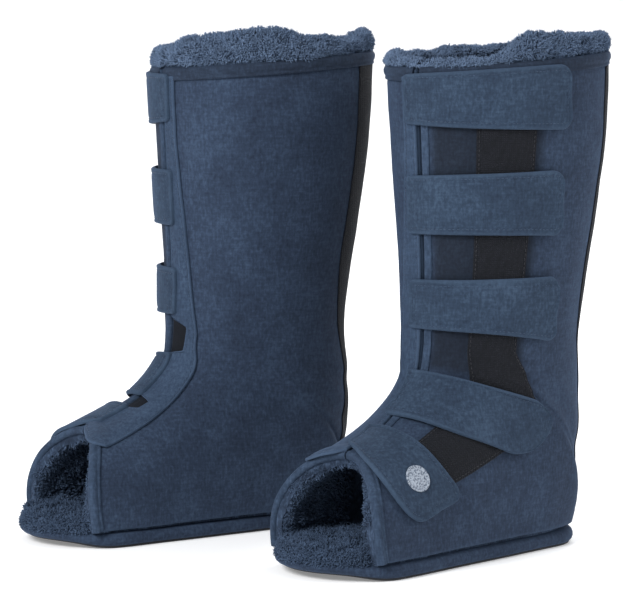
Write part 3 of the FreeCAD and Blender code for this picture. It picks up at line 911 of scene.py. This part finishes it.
# Closed profiles (inwards from the edge, up from the cloth's face), millimetres.
ROLLED_EDGE = ((7.6, 0.1), (7.5, 0.9), (6.9, 1.5), (5.6, 1.5), (4.8, 1.15), (4.0, 1.7),
               (2.6, 2.35), (1.0, 2.3), (-0.5, 1.6), (-1.6, 0.2), (-2.0, -1.6),
               (-1.5, -3.3), (-0.2, -4.5), (1.8, -4.9), (5.0, -4.6), (5.0, -4.1))
HEM_EDGE = ((9.4, 0.1), (9.3, 1.0), (8.6, 1.6), (7.4, 1.6), (6.6, 1.25), (5.6, 1.8),
            (3.8, 2.4), (1.6, 2.4), (-0.2, 1.8), (-1.5, 0.4), (-1.9, -1.4), (-1.4, -3.2),
            (-0.2, -4.4), (2.0, -4.8), (6.0, -4.5), (6.0, -4.1))
SLIT_EDGE = ((6.6, 0.1), (6.5, 0.9), (5.8, 1.3), (4.8, 1.25), (4.2, 1.0), (3.4, 1.5),
             (2.0, 1.9), (0.6, 1.8), (-0.5, 1.1), (-1.1, 0.0), (-1.2, -1.6), (-0.8, -3.2),
             (0.4, -4.2), (2.4, -4.6), (5.0, -4.4), (5.0, -4.1))


def make_bindings(boot):
    """Rolled edges round the toe mouth, down the front edge and along the hem."""
    steps = 150
    for side, word, start in ((1, "outer", SLIT), (-1, "inner", FLAP_FRONT)):
        binding(boot, f"{word}_toe_binding", np.full(steps, TOE_S),
                side * np.linspace(start, SEAM, steps), (0.1, 0), ROLLED_EDGE, boot.main,
                f"{word}_toe_edge")
    binding(boot, "front_binding", np.linspace(TOE_S, CUT_S, 220), np.full(220, SLIT),
            (0, 0.03), SLIT_EDGE, boot.main, "front_edge")
    line = split(TOP)
    for word, start, end, body in (("outer", SLIT, 1.0, boot.main),
                                   ("inner", -line, -1.0, boot.main),
                                   ("flap", -FLAP_FRONT, -line, boot.bend_flap)):
        binding(boot, f"{word}_hem_binding", np.full(steps, CUT_S),
                np.linspace(start, end, steps), (-0.1, 0), HEM_EDGE, body, f"{word}_hem")


FACING_HIGH = 2.15 * MM
FACING_FRONT = -0.001       # front edge of the facing, just short of the centre line
FACING_FOOT = -0.10         # its toe end laps over the mouth's rolled edge
FACING_LAP = 2.4 * MM
FACING_GROOVE = 3.2 * MM    # the stitches sit this far inside the facing's edges
FACING_SECOND = 6.6 * MM    # and a second row this far inside its sewn edge


def facing_gape(boot, s):
    """How far round the facing's front edge stands back; the right boot's slit gapes."""
    if boot.outer > 0:
        return 0.0 * s
    ankle = smooth(s, 5.0, 5.7) * (1 - smooth(s, 7.8, 8.2))
    toes = smooth(s, 1.15, 1.5) * (1 - smooth(s, 1.85, 2.1))
    return 0.085 * ankle + 0.160 * toes


def facing_at(boot):
    """place(u, v) over the facing, whose toe end is rounded off at both corners."""
    def place(u, v):
        corner = (0.45 * np.maximum(v - 0.5, 0)**2 / 0.25
                  + 0.2 * np.maximum(0.3 - v, 0)**2 / 0.09)
        s = FACING_FOOT + corner + (HEM_S + 0.02 - FACING_FOOT - corner) * u
        front = FACING_FRONT - facing_gape(boot, s)
        return s, front - (facing_edge(s) + front) * v
    return place


def facing_rise(s):
    """How far the facing is lifted by the rolled edge under its toe end."""
    return FACING_LAP * (1 - smooth(s, 0.22, 0.5))


def edge_swell(groove, depth=0.5, raised=0.35):
    """A stitched groove at a distance inside the edges, and a soft roll outside it."""
    def swell(s, way, near):
        return (raised * MM * bump(near, groove * 0.45, groove * 0.4)
                - depth * MM * bump(near, groove, 0.9 * MM)
                + 0.25 * MM * smooth(near, groove, groove + 6 * MM))
    return swell


def make_facing(boot):
    """Doubled strip along the front edge of the inner side, from the toe to the hem."""
    place = facing_at(boot)
    facing = layer(boot, "facing", place, lambda s, w: BAND_LOW + facing_rise(s),
                   lambda s, w: FACING_HIGH + facing_rise(s), FACING_CLOTH, 1.8 * MM,
                   1.6 * MM, swell=edge_swell(FACING_GROOVE))
    dress(boot, facing, "facing_fabric", boot.bend_facing, "foot_facing", "flap_facing")
    along = np.linspace(0.004, 0.996, 400)
    across = skin(*place(along, np.linspace(0, 1, 9)[:, None]))
    width = np.linalg.norm(np.diff(across, axis=0), axis=-1).sum(0)
    toe_row = np.full(60, 0.0085), np.linspace(0.1, 0.9, 60)
    lines = []
    for u, v, sunk in ((along, FACING_GROOVE / width, 0.35 * MM),
                       (along, 1 - FACING_GROOVE / width, 0.2 * MM),
                       (along, 1 - FACING_SECOND / width, 0.2 * MM),
                       (*toe_row, 0.35 * MM)):
        s, way = place(u, v)
        lines.append(seam_line(boot, s, way, FACING_HIGH + facing_rise(s) - sunk))
    seam(boot, "facing_stitches", lines, THREAD_NAVY, "facing_fabric", boot.bend_facing)


TAPE_LOW_S = 0.9
TAPE_HIGH = 1.85 * MM


def tape_place(u, v):
    """The loop tape, up the outer side behind the slit."""
    s = TAPE_LOW_S + (HEM_S - TAPE_LOW_S) * u
    front, back = tape_edges(s)
    return s, front + (back - front) * v


def make_tape(boot):
    """Loop tape with flat selvages, sewn down both edges."""
    def swell(s, way, near):
        return (-0.75 * MM * (1 - smooth(near, 3.2 * MM, 4.4 * MM))
                + 0.22 * MM * noise(skin(s, way), 2.2 * MM, boot.seed + 31))
    tape = layer(boot, "loop_tape_band", tape_place, BAND_LOW, TAPE_HIGH, LOOP, 1.6 * MM,
                 0.7 * MM, swell=swell)
    dress(boot, tape, "loop_tape", boot.main, "loop_tape")
    u = np.linspace(0.003, 0.997, 400)
    lines = [seam_line(boot, *tape_place(u, np.full(400, share)), 1.15 * MM)
             for share in (0.045, 0.955)]
    seam(boot, "tape_stitches", lines, THREAD_BLACK, "loop_tape", boot.main)


BACK_SHADE_SHEET = 0.70           # way round of the front edges of the near-black sheet, painted shade at the back
BACK_SHADE_SHEET_S = 6.1          # its lower end, at the heel


def make_back_shade_sheet(boot):
    """Near-black thin cloth over the back of the shaft, on both sides of the seam tape: painted
    shade along the back edges.
    """
    for side, word in ((1, "outer"), (-1, "inner")):
        def place(u, v):
            s = BACK_SHADE_SHEET_S + (HEM_S - BACK_SHADE_SHEET_S) * u
            front = BACK_SHADE_SHEET + 0.10 * (1 - smooth(s, 6.5, 9.5))
            return s, side * (front + (SEAM - front) * v)
        strip = layer(boot, f"{word}_back_strip", place, BAND_LOW, 0.9 * MM, LOOP, 2.4 * MM,
                      0.6 * MM)
        dress(boot, strip, "seam_binding", boot.main)


# Closed profile of the back seam's tape (sideways, out from the cloth), millimetres.
BACK_TAPE = ((-7.2, -0.9), (-7.2, 0.2), (-6.6, 0.8), (-5.4, 0.9), (-4.8, 0.7), (-4.0, 1.1),
             (-1.6, 1.5), (1.6, 1.5), (4.0, 1.1), (4.8, 0.7), (5.4, 0.9), (6.6, 0.8),
             (7.2, 0.2), (7.2, -0.9), (4, -2.5), (-4, -2.5))


def make_back_seam(boot):
    """Dark tape over the back seam, slightly crowned, with a stitched line each side."""
    s = np.linspace(6.02, CUT_S, 200)
    normals = unit(boot.normals(s, 0.999) + boot.normals(s, -0.999))
    centres = (boot.lay(s, 0.99, 0.0) + boot.lay(s, -0.99, 0.0)) / 2 + normals * 1.0 * MM
    side = unit(np.cross(unit(np.gradient(centres, axis=0)), normals))
    points, faces = rings(centres, normals, side, np.array(BACK_TAPE) * MM)
    tape = mesh_object(f"{boot.name}_back_tape", points, faces, SEAM_TAPE, 80)
    dress(boot, tape, "seam_binding", boot.main, "back_seam")
    lines = [(centres + side * x * MM + normals * 0.85 * MM, normals) for x in (-4.8, 4.8)]
    seam(boot, "back_stitches", lines, THREAD_BLACK, "seam_binding", boot.main)


# --------------------------------------------------------------------- straps and badge

STRAP_GROOVE = 4.2 * MM     # the stitches sit this far inside the strap's edges


def strap_patch(row):
    """place(u, v) over a strap with its tab, round at the corners; its length and width."""
    length, wide = strap_size(row)

    def place(u, v):
        at = u * (length + TAB) - TAB
        trim = 0.0
        for left, corner in ((length - at, STRAP_CORNER), (at + TAB, TAB_CORNER)):
            left = np.clip(left, 0, corner)
            trim = trim + corner - np.sqrt(np.maximum(corner**2 - (corner - left)**2, 0))
        return strap_place(row, at / length, 0.5 + (v - 0.5) * (1 - 2 * trim / wide))
    return place, length, wide


def make_strap(boot, number):
    """One strap of doubled cloth, with its root tab, its stitching and its hook patch."""
    row = STRAPS[number - 1]
    place, length, wide = strap_patch(row)
    random = np.random.RandomState(boot.seed * 10 + number)
    lift_end = (0.8 + 1.2 * random.rand()) * MM
    phase = random.rand() * 6

    def bed(s, way):
        along = (way - ROOT) / (np.mean(row[2]) - ROOT)
        drop = TAB_DROP * (1 - smooth(along, -0.04, 0.10))
        lift = lift_end * smooth(along, 0.86, 1.03)
        wave = 0.5 * MM * np.sin(along * 7 + phase) * smooth(along, 0.1, 0.3)
        return -drop + lift + wave * (1 - smooth(along, 0.75, 0.95))

    def bend(piece):
        boot.bend_strap(piece, number)

    strap = layer(boot, f"strap_{number}_cloth", place, lambda s, w: STRAP_LOW + bed(s, w),
                  lambda s, w: STRAP_HIGH + bed(s, w), STRAP_CLOTH, 1.6 * MM, 1.5 * MM,
                  swell=edge_swell(STRAP_GROOVE, 0.55, 0.3))
    dress(boot, strap, "strap_fabric", bend, f"strap_{number}")
    e = STRAP_GROOVE / (length + TAB)
    f = STRAP_GROOVE / wide
    steps = 160
    corners = ((e, f), (1 - e, f), (1 - e, 1 - f), (e, 1 - f), (e, f))
    trip = [np.linspace(a, b, steps) for a, b in zip(corners, corners[1:])]
    s, way = place(*np.concatenate(trip).T)
    line = seam_line(boot, s, way, STRAP_HIGH + bed(s, way) - 0.28 * MM)
    sewn = (TAB - 1.5 * MM) / (length + TAB)
    s, way = place(np.full(steps, sewn), np.linspace(f, 1 - f, steps))
    root = seam_line(boot, s, way, STRAP_HIGH + bed(s, way) + 0.05 * MM)
    seam(boot, f"strap_{number}_stitches", [line, root], THREAD_NAVY, "strap_fabric", bend)
    hooks = layer(boot, f"strap_{number}_hook_patch",
                  lambda u, v: place(0.70 + 0.25 * u, 0.12 + 0.76 * v),
                  lambda s, w: 2.2 * MM + bed(s, w), lambda s, w: STRAP_LOW + bed(s, w),
                  HOOK, 2.5 * MM, 0.4 * MM)
    dress(boot, hooks, "loop_tape", f"{boot.name}_strap_{number}")
    return bed


# Radius and height of the badge, from its domed middle over the rim, millimetres.
BADGE_PROFILE = ((4.0, 0.74), (7.4, 0.66), (8.2, 0.42), (8.8, 0.42), (9.3, 0.85),
                 (10.2, 0.98), (10.8, 0.75), (11.0, 0.2), (10.6, -0.2))
BADGE_CORNERS = 72


def make_badge(boot, bed):
    """Plain round badge on the lowest strap: a rimmed, domed disc."""
    s, way = strap_place(STRAPS[4], 0.74, 0.5)
    up = boot.normals(s, way)
    height = STRAP_HIGH + bed(s, way) + 0.25 * MM
    centre = boot.lay(s, way, height)
    ahead = unit(boot.lay(*strap_place(STRAPS[4], 0.80, 0.5), height) - centre)
    ahead = unit(ahead - up * (ahead @ up))
    angles = np.arange(BADGE_CORNERS)[:, None] * 2 * math.pi / BADGE_CORNERS
    spokes = ahead * np.cos(angles) + np.cross(up, ahead) * np.sin(angles)
    rows = [centre + spokes * radius * MM + up * rise * MM for radius, rise in BADGE_PROFILE]
    faces = tube_faces(len(rows), BADGE_CORNERS, 1)
    badge = mesh_object(f"{boot.name}_plain_badge", np.concatenate(rows), faces, BADGE, 70)
    dress(boot, badge, "badge_print", f"{boot.name}_strap_5", "badge")


# -------------------------------------------------------------------------------- soles

TOE_CENTRE, TOE_RADIUS = -146 * MM, 62 * MM
HEEL_CENTRE, HEEL_RADIUS = 45 * MM, 49 * MM
RIM_RADIUS = 52 * MM
SOLE_TALL = 12.8            # top of the rand, millimetres
TOE_SPRING = 5 * MM         # the tread curls up this much at the toe
BED_INSET = 9 * MM          # the footbed stands this far inside the sole's edge

# Closed profiles of the sole (outwards, height), from bottom to top, millimetres.
TREAD = ((-9, 0), (-5, 0), (-3.4, 0.5), (-2.8, 1.6), (-3, 3), (-5, 4))
RAND = ((-9, 2.4), (-4, 2), (-2.2, 2.4), (-0.8, 3.8), (0, 6.2), (-0.1, 8.6), (-0.9, 10.6),
        (-2.3, 12), (-4.4, 12.6), (-9, 12.8))
RIM = ((-6, -0.5), (-5.6, 5.5), (-3.5, 9), (-0.5, 10.2), (2.6, 9), (4.8, 5.5), (5.4, 1),
       (5, -0.5))


def sole_outline():
    """Even points round the sole and their outward directions, in the boot's frame."""
    lean = math.asin((TOE_RADIUS - HEEL_RADIUS) / (HEEL_CENTRE - TOE_CENTRE))
    parts = []
    for start, end, centre, radius in (
            (math.pi - lean, 2 * math.pi + lean, TOE_CENTRE, TOE_RADIUS),
            (lean, math.pi - lean, HEEL_CENTRE, HEEL_RADIUS)):
        angles = np.linspace(start, end, 400)
        outward = np.stack([np.cos(angles), np.sin(angles), 0 * angles], -1)
        parts.append(np.concatenate([outward * radius + [0, centre, 0], outward], -1))
    line = np.concatenate(parts + [parts[0][:1]])
    done = distances_along(line[:, :3])
    at = np.linspace(0, done[-1], 240, endpoint=False)
    even = np.stack([np.interp(at, done, column) for column in line.T], -1)
    return even[:, :3], unit(even[:, 3:])


def make_sole_layer(boot, name, profile, material, waver, slot, node):
    """A closed layer of the sole, curling up under the toes."""
    points, outward = sole_outline()
    uneven = waver * noise(points, 22 * MM, boot.seed + 41)
    ahead = smooth(-outward[:, 1], 0.1, 0.95) * smooth(-points[:, 1], 120 * MM, 190 * MM)
    rows = []
    for out, height in profile:
        low = 1 - height / SOLE_TALL
        row = points + outward * (out * MM + uneven - ahead * (1.5 + 5.0 * low) * MM)[:, None]
        row[:, 2] = height * MM + ahead * TOE_SPRING * low
        rows.append(row)
    layer_piece = mesh_object(f"{boot.name}_{name}", boot.to_row(np.concatenate(rows)),
                              tube_faces(len(rows), len(points), 1), material, 70)
    dress(boot, layer_piece, slot, boot.main, node)


def footbed_place(y):
    """Half width of the footbed at a place along the foot."""
    toe_radius, heel_radius = TOE_RADIUS - BED_INSET, HEEL_RADIUS - BED_INSET
    toe = np.sqrt(np.maximum(toe_radius**2 - (y - TOE_CENTRE)**2, 0))
    heel = np.sqrt(np.maximum(heel_radius**2 - (y - HEEL_CENTRE)**2, 0))
    share = np.clip((y - TOE_CENTRE) / (HEEL_CENTRE - TOE_CENTRE), 0, 1)
    middle = toe_radius * (1 - share) + heel_radius * share
    return np.where(y < TOE_CENTRE, toe, np.where(y > HEEL_CENTRE, heel, middle))


def footbed_top(boot, x, y):
    """Height of the fleece footbed: lumpy, and rolled up behind the toe rim."""
    p = np.stack([x, y, 0 * x], -1)
    front = np.hypot(x, np.minimum(y - TOE_CENTRE, 0))
    roll = smooth(front, 24 * MM, 42 * MM) * (1 - smooth(y, -150 * MM, -112 * MM))
    lumps = 2.6 * MM * noise(p, 15 * MM, boot.seed + 51) + 1.3 * MM * noise(p, 7 * MM, boot.seed)
    return 22.5 * MM + 2.5 * MM * roll + lumps


def make_toe_rim(boot):
    """Padded fleece rim round the front of the footbed."""
    half_arc = math.radians(64)
    turned = np.linspace(-half_arc, half_arc, 120)
    angles = turned - math.pi / 2
    outward = np.stack([np.cos(angles), np.sin(angles), 0 * angles], -1)
    centres = outward * RIM_RADIUS + np.array([0, TOE_CENTRE, 12.5 * MM])
    low_ends = smooth(half_arc - np.abs(turned), 0, 0.25)
    heights = (0.55 + 0.45 * low_ends) * (1 + 0.1 * noise(centres, 16 * MM, boot.seed))
    points, faces = rings(boot.to_row(centres), heights[:, None] * [0, 0, 1],
                          boot.direction(outward), np.array(RIM) * MM)
    rim = mesh_object(f"{boot.name}_toe_rim_fleece", points, faces, FLEECE, 70)
    dress(boot, rim, "fleece", boot.main, "toe_rim")
    return rim


def make_footbed(boot):
    """Padded fleece insole."""
    u = np.linspace(0, 1, 110)
    front = TOE_CENTRE - TOE_RADIUS + BED_INSET + 0.05 * MM
    back = HEEL_CENTRE + HEEL_RADIUS - BED_INSET - 0.05 * MM
    ease = (1 - np.cos(u * math.pi)) / 2
    y = front + (back - front) * (0.35 * ease + 0.65 * u)
    half = np.maximum(footbed_place(y), 2 * MM)
    x = half[:, None] * np.linspace(-1, 1, 44)
    y = np.broadcast_to(y[:, None], x.shape)
    top = np.stack([x, y, footbed_top(boot, x, y)], -1)
    low = np.stack([x, y, np.full_like(x, SOLE_TALL * MM)], -1)
    points, faces, _ = slab(boot.to_row(top), boot.to_row(low))
    bed = mesh_object(f"{boot.name}_fleece_footbed", points, faces, FLEECE)
    dress(boot, bed, "fleece", boot.main, "footbed")
    return bed


# ------------------------------------------------------------------------------- fleece

# Closed profile of the fleece where it rolls over the top edge (up, out), millimetres.
CUFF_ROLL = ((-16, -12.5), (-6, -14.5), (2, -14.4), (7.5, -12.2), (10.0, -8.4), (8.6, -4.4),
             (5.0, -2.2), (2.4, -2.6), (0.5, -4.4), (-16, -4.6))
MOUTH_ROLL = ((18, -12.5), (9, -15.0), (4, -15.0), (2.2, -12.5), (1.8, -9.0), (2.4, -6.2),
              (5, -4.8), (18, -4.6))


CUFF_CAP = 422.3 * MM       # the fleece's humps level off here
TOP_HEIGHT = STATIONS[-1][4]     # the top edge at the back seam
LOCK_SPACING = MM / 62      # between locks along a cuff's edge
MOST_LOCKS = 12400          # locks in one piece of fleece
ROLL_STEPS = 200            # rings along a roll of fleece


def cuff_lift(boot, way, height):
    """How far the fleece stands up out of the top edge: two or three broad humps."""
    if boot.outer < 0:
        humps = (10 * bump(way, -0.30, 0.24) - 4 * bump(way, -0.68, 0.10)
                 + 7 * bump(way, -0.92, 0.16) - 5 * bump(way, 0.0, 0.09))
        return humps * MM + 0.45 * (TOP_HEIGHT - height)
    humps = 14 * smooth(way, 0.26, 0.38) - 8 - 5 * smooth(way, 0.45, 0.8)
    return humps * MM + 0.3 * (TOP_HEIGHT - height)


def fleece_roll(boot, name, start, end, station, profile, swing, material, lift=None):
    """Lumpy roll of fleece along an edge: the piece, its grid and directions outwards."""
    s, way = np.full(ROLL_STEPS, station), np.linspace(start, end, ROLL_STEPS)
    centres, normals, side = edge_line(boot, s, way, (0.1, 0))
    profile = np.asarray(profile) * MM
    thirds = np.arange(3 * len(profile) - 2) / 3
    dense = np.stack([np.interp(thirds, np.arange(len(profile)), column)
                      for column in profile.T], -1)
    depth = LINING_TOP + (dense[:, 1] - LINING_TOP) * pile_share(s, way)[:, None]
    grid = centres[:, None] + side[:, None] * dense[:, :1] + normals[:, None] * depth[..., None]
    away = unit(grid - grid.mean(1, keepdims=True))
    lumps = (3.6 * MM * noise(grid, 21 * MM, boot.seed + 61)
             + 1.5 * MM * noise(grid, 9 * MM, boot.seed + 62))
    broad = swing * noise(grid * np.array([1, 1, 0]), 42 * MM, boot.seed + 63)
    if lift is not None:
        upper = np.clip(dense[:, 0] / (9 * MM), 0, 1)
        broad = broad + lift(boot, way, centres[:, 2])[:, None] * upper
    grid = grid + away * lumps[..., None] + side[:, None] * broad[..., None]
    grid[..., 2] -= 0.75 * np.maximum(grid[..., 2] - CUFF_CAP, 0)
    piece = mesh_object(f"{boot.name}_{name}", grid.reshape(-1, 3),
                        tube_faces(*grid.shape[:2]), material)
    return piece, grid, away


def roots_on(grid, away, random, count, first, last):
    """Random places on part of a roll, with directions away from its middle."""
    rows, columns = grid.shape[:2]
    a = random.rand(count) * (rows - 1.001)
    b = first + random.rand(count) * (last - first)
    i, j = a.astype(int), b.astype(int)
    f, g = (a - i)[:, None], (b - j)[:, None]
    found = []
    for field in (grid, away):
        found.append((field[i, j] * (1 - f) * (1 - g) + field[i + 1, j] * f * (1 - g)
                      + field[i, j + 1] * (1 - f) * g + field[i + 1, j + 1] * f * g))
    return found[0], unit(found[1])


def make_cuff(boot):
    """Fleece standing out of the top edge."""
    line = split(TOP)
    for word, start, end, body in (("outer", 0.012, 1.0, boot.main),
                                   ("inner", -line, -1.0, boot.main),
                                   ("flap", -0.0, -line, boot.bend_flap)):
        roll, grid, away = fleece_roll(boot, f"{word}_cuff_fleece", start, end, TOP,
                                       CUFF_ROLL, 2.6 * MM, LIT_CUFF_FLEECE, cuff_lift)
        count = min(int(distances_along(grid[:, 12])[-1] / LOCK_SPACING), MOST_LOCKS)
        roots, heading = roots_on(grid, away, boot.random, count, 2, 24)
        locks = pile(boot, f"{word}_cuff_locks", roots, heading, 4.0 * MM, 0, LIT_CUFF_FLEECE,
                     0.75 * MM, 7 * MM)
        dress(boot, roll, "fleece", body)
        dress(boot, locks, "fleece", body)


def make_mouth(boot):
    """Fleece round the toe mouth, and on the lining just inside it."""
    for side, word in ((1, "outer"), (-1, "inner")):
        roll, grid, away = fleece_roll(boot, f"{word}_mouth_fleece", side * 0.02,
                                       side * 0.985, TOE_S, MOUTH_ROLL, 1.5 * MM, FLEECE)
        roots, heading = roots_on(grid, away, boot.random, 5200, 1, 18)
        locks = pile(boot, f"{word}_mouth_locks", roots, heading, 3.4 * MM, 2, FLEECE,
                     0.75 * MM, 7 * MM, boot.direction([[0, 0.9, 0]]))
        s = scatter(boot.random, 3600, 0.05, 1.6)
        around = side * scatter(boot.random, 3600, 0.03, 0.98)
        deep = lining_low(s, around) + 0.5 * MM + fleece_lumps(boot)(s, around)
        walls = pile(boot, f"{word}_mouth_wall_locks", boot.lay(s, around, deep),
                     -boot.normals(s, around), 5.0 * MM, 3)
        for piece in (roll, locks, walls):
            dress(boot, piece, "fleece", boot.main)


def make_rim_locks(boot):
    """Pile on the toe rim."""
    count = 5200
    angle = -math.pi / 2 + scatter(boot.random, count, -1.05, 1.05)
    round_rim = scatter(boot.random, count, -0.35, math.pi)
    outward = np.stack([np.cos(angle), np.sin(angle), 0 * angle], -1)
    roots = outward * (RIM_RADIUS + 4 * MM * np.cos(round_rim))[:, None] + [0, TOE_CENTRE, 0]
    roots[:, 2] = 15 * MM + 7 * MM * np.sin(round_rim)
    heading = outward * np.cos(round_rim)[:, None]
    heading[:, 2] = np.sin(round_rim)
    locks = pile(boot, "toe_rim_locks", boot.to_row(roots), boot.direction(heading),
                 4.2 * MM, 5, FLEECE, 0.9 * MM, 11 * MM)
    dress(boot, locks, "fleece", boot.main)


def make_footbed_locks(boot):
    """Pile on the front half of the footbed."""
    count = 8500
    y = scatter(boot.random, count, TOE_CENTRE - TOE_RADIUS + 10 * MM, -70 * MM)
    x = footbed_place(y) * scatter(boot.random, count, -0.98, 0.98)
    roots = boot.to_row(np.stack([x, y, footbed_top(boot, x, y) - 0.6 * MM], -1))
    locks = pile(boot, "footbed_locks", roots, np.tile([0.0, 0, 1], (count, 1)), 5.0 * MM, 4,
                 FLEECE, 0.9 * MM, 11 * MM, boot.direction([[0, -0.35, 0]]))
    dress(boot, locks, "fleece", boot.main)


# ------------------------------------------------------------------------------- stage

def make_stage():
    """Pale floor that curves up behind, the world's light and soft lights."""
    material, tree, shader = new_material("pale_floor", 0.9)
    paper = texture(tree, "Noise", 3.0, Detail=2.0)
    tone = ramp(tree, paper, ((0.3, (0.93, 0.93, 0.935)), (0.7, (0.95, 0.95, 0.95))))
    tree.links.new(tone, shader.inputs["Base Color"])
    shader.inputs["Emission Color"].default_value = (1, 1, 1, 1)
    shader.inputs["Emission Strength"].default_value = 0.22
    bend = np.linspace(0.1, math.pi / 2, 14)
    depth = np.concatenate([np.linspace(-20.0, 2.2, 12), 2.2 + 1.5 * np.sin(bend),
                            np.full(3, 3.7)])
    rise = np.concatenate([np.zeros(12), 1.5 * (1 - np.cos(bend)), [2.5, 4.0, 6.0]])
    reach = np.where(rise > 0, 6.0, 20.0)
    points = [(x, y, z) for x0, y, z in zip(reach, depth, rise) for x in (-x0, x0)]
    faces = [(2 * i, 2 * i + 1, 2 * i + 3, 2 * i + 2) for i in range(len(depth) - 1)]
    plain_mesh("sweep", points, faces, material)
    world = bpy.data.worlds.new("soft_studio")
    world.use_nodes = True
    sky = world.node_tree.nodes["Background"]
    sky.inputs["Color"].default_value = (0.93, 0.96, 1.0, 1)
    sky.inputs["Strength"].default_value = 0.42
    bpy.context.scene.world = world
    for name, place, size, power in (("key", (-1.5, -2.0, 1.7), 1.3, 88.0),
                                     ("side", (2.4, -0.6, 1.2), 1.4, 24.0),
                                     ("back", (0.6, 2.2, 2.0), 1.6, 40.0)):
        light = bpy.data.lights.new(name, "AREA")
        light.shape = "DISK"
        light.size = size
        light.energy = power
        lamp = bpy.data.objects.new(name, light)
        lamp.location = place
        aim = Vector((0, 0, 0.2)) - Vector(place)
        lamp.rotation_euler = aim.to_track_quat("-Z", "Y").to_euler()
        bpy.context.scene.collection.objects.link(lamp)


def make_camera():
    """The camera, level with the shafts and a little above, from the toes' side."""
    elevation = math.radians(4.81)
    target = Vector((1.87 * MM, -24.64 * MM, 200 * MM))
    away = 2.2
    camera = bpy.data.cameras.new("camera")
    camera.sensor_width = 36.0
    camera.lens = 155.62
    camera.shift_y = 0.0026
    holder = bpy.data.objects.new("camera", camera)
    holder.location = target + away * Vector((0, -math.cos(elevation), math.sin(elevation)))
    holder.rotation_euler = (math.radians(90) - elevation, 0, 0)
    bpy.context.scene.collection.objects.link(holder)
    bpy.context.scene.camera = holder


make_camera()
make_stage()
bpy.context.scene.view_settings.view_transform = "Standard"
for boot in (LEFT, RIGHT):
    make_upper(boot)
    make_bindings(boot)
    make_facing(boot)
    make_tape(boot)
    make_back_shade_sheet(boot)
    make_back_seam(boot)
    beds = [make_strap(boot, number) for number in range(1, 6)]
    make_badge(boot, beds[-1])
    make_sole_layer(boot, "tread", TREAD, RUBBER, 0.4 * MM, "sole_rubber", "outsole")
    make_sole_layer(boot, "rand", RAND, NAVY, 0.9 * MM, "trim_fabric", "midsole")
    toe_rim = make_toe_rim(boot)
    make_footbed(boot)
    make_cuff(boot)
    make_mouth(boot)
    make_rim_locks(boot)
    make_footbed_locks(boot)
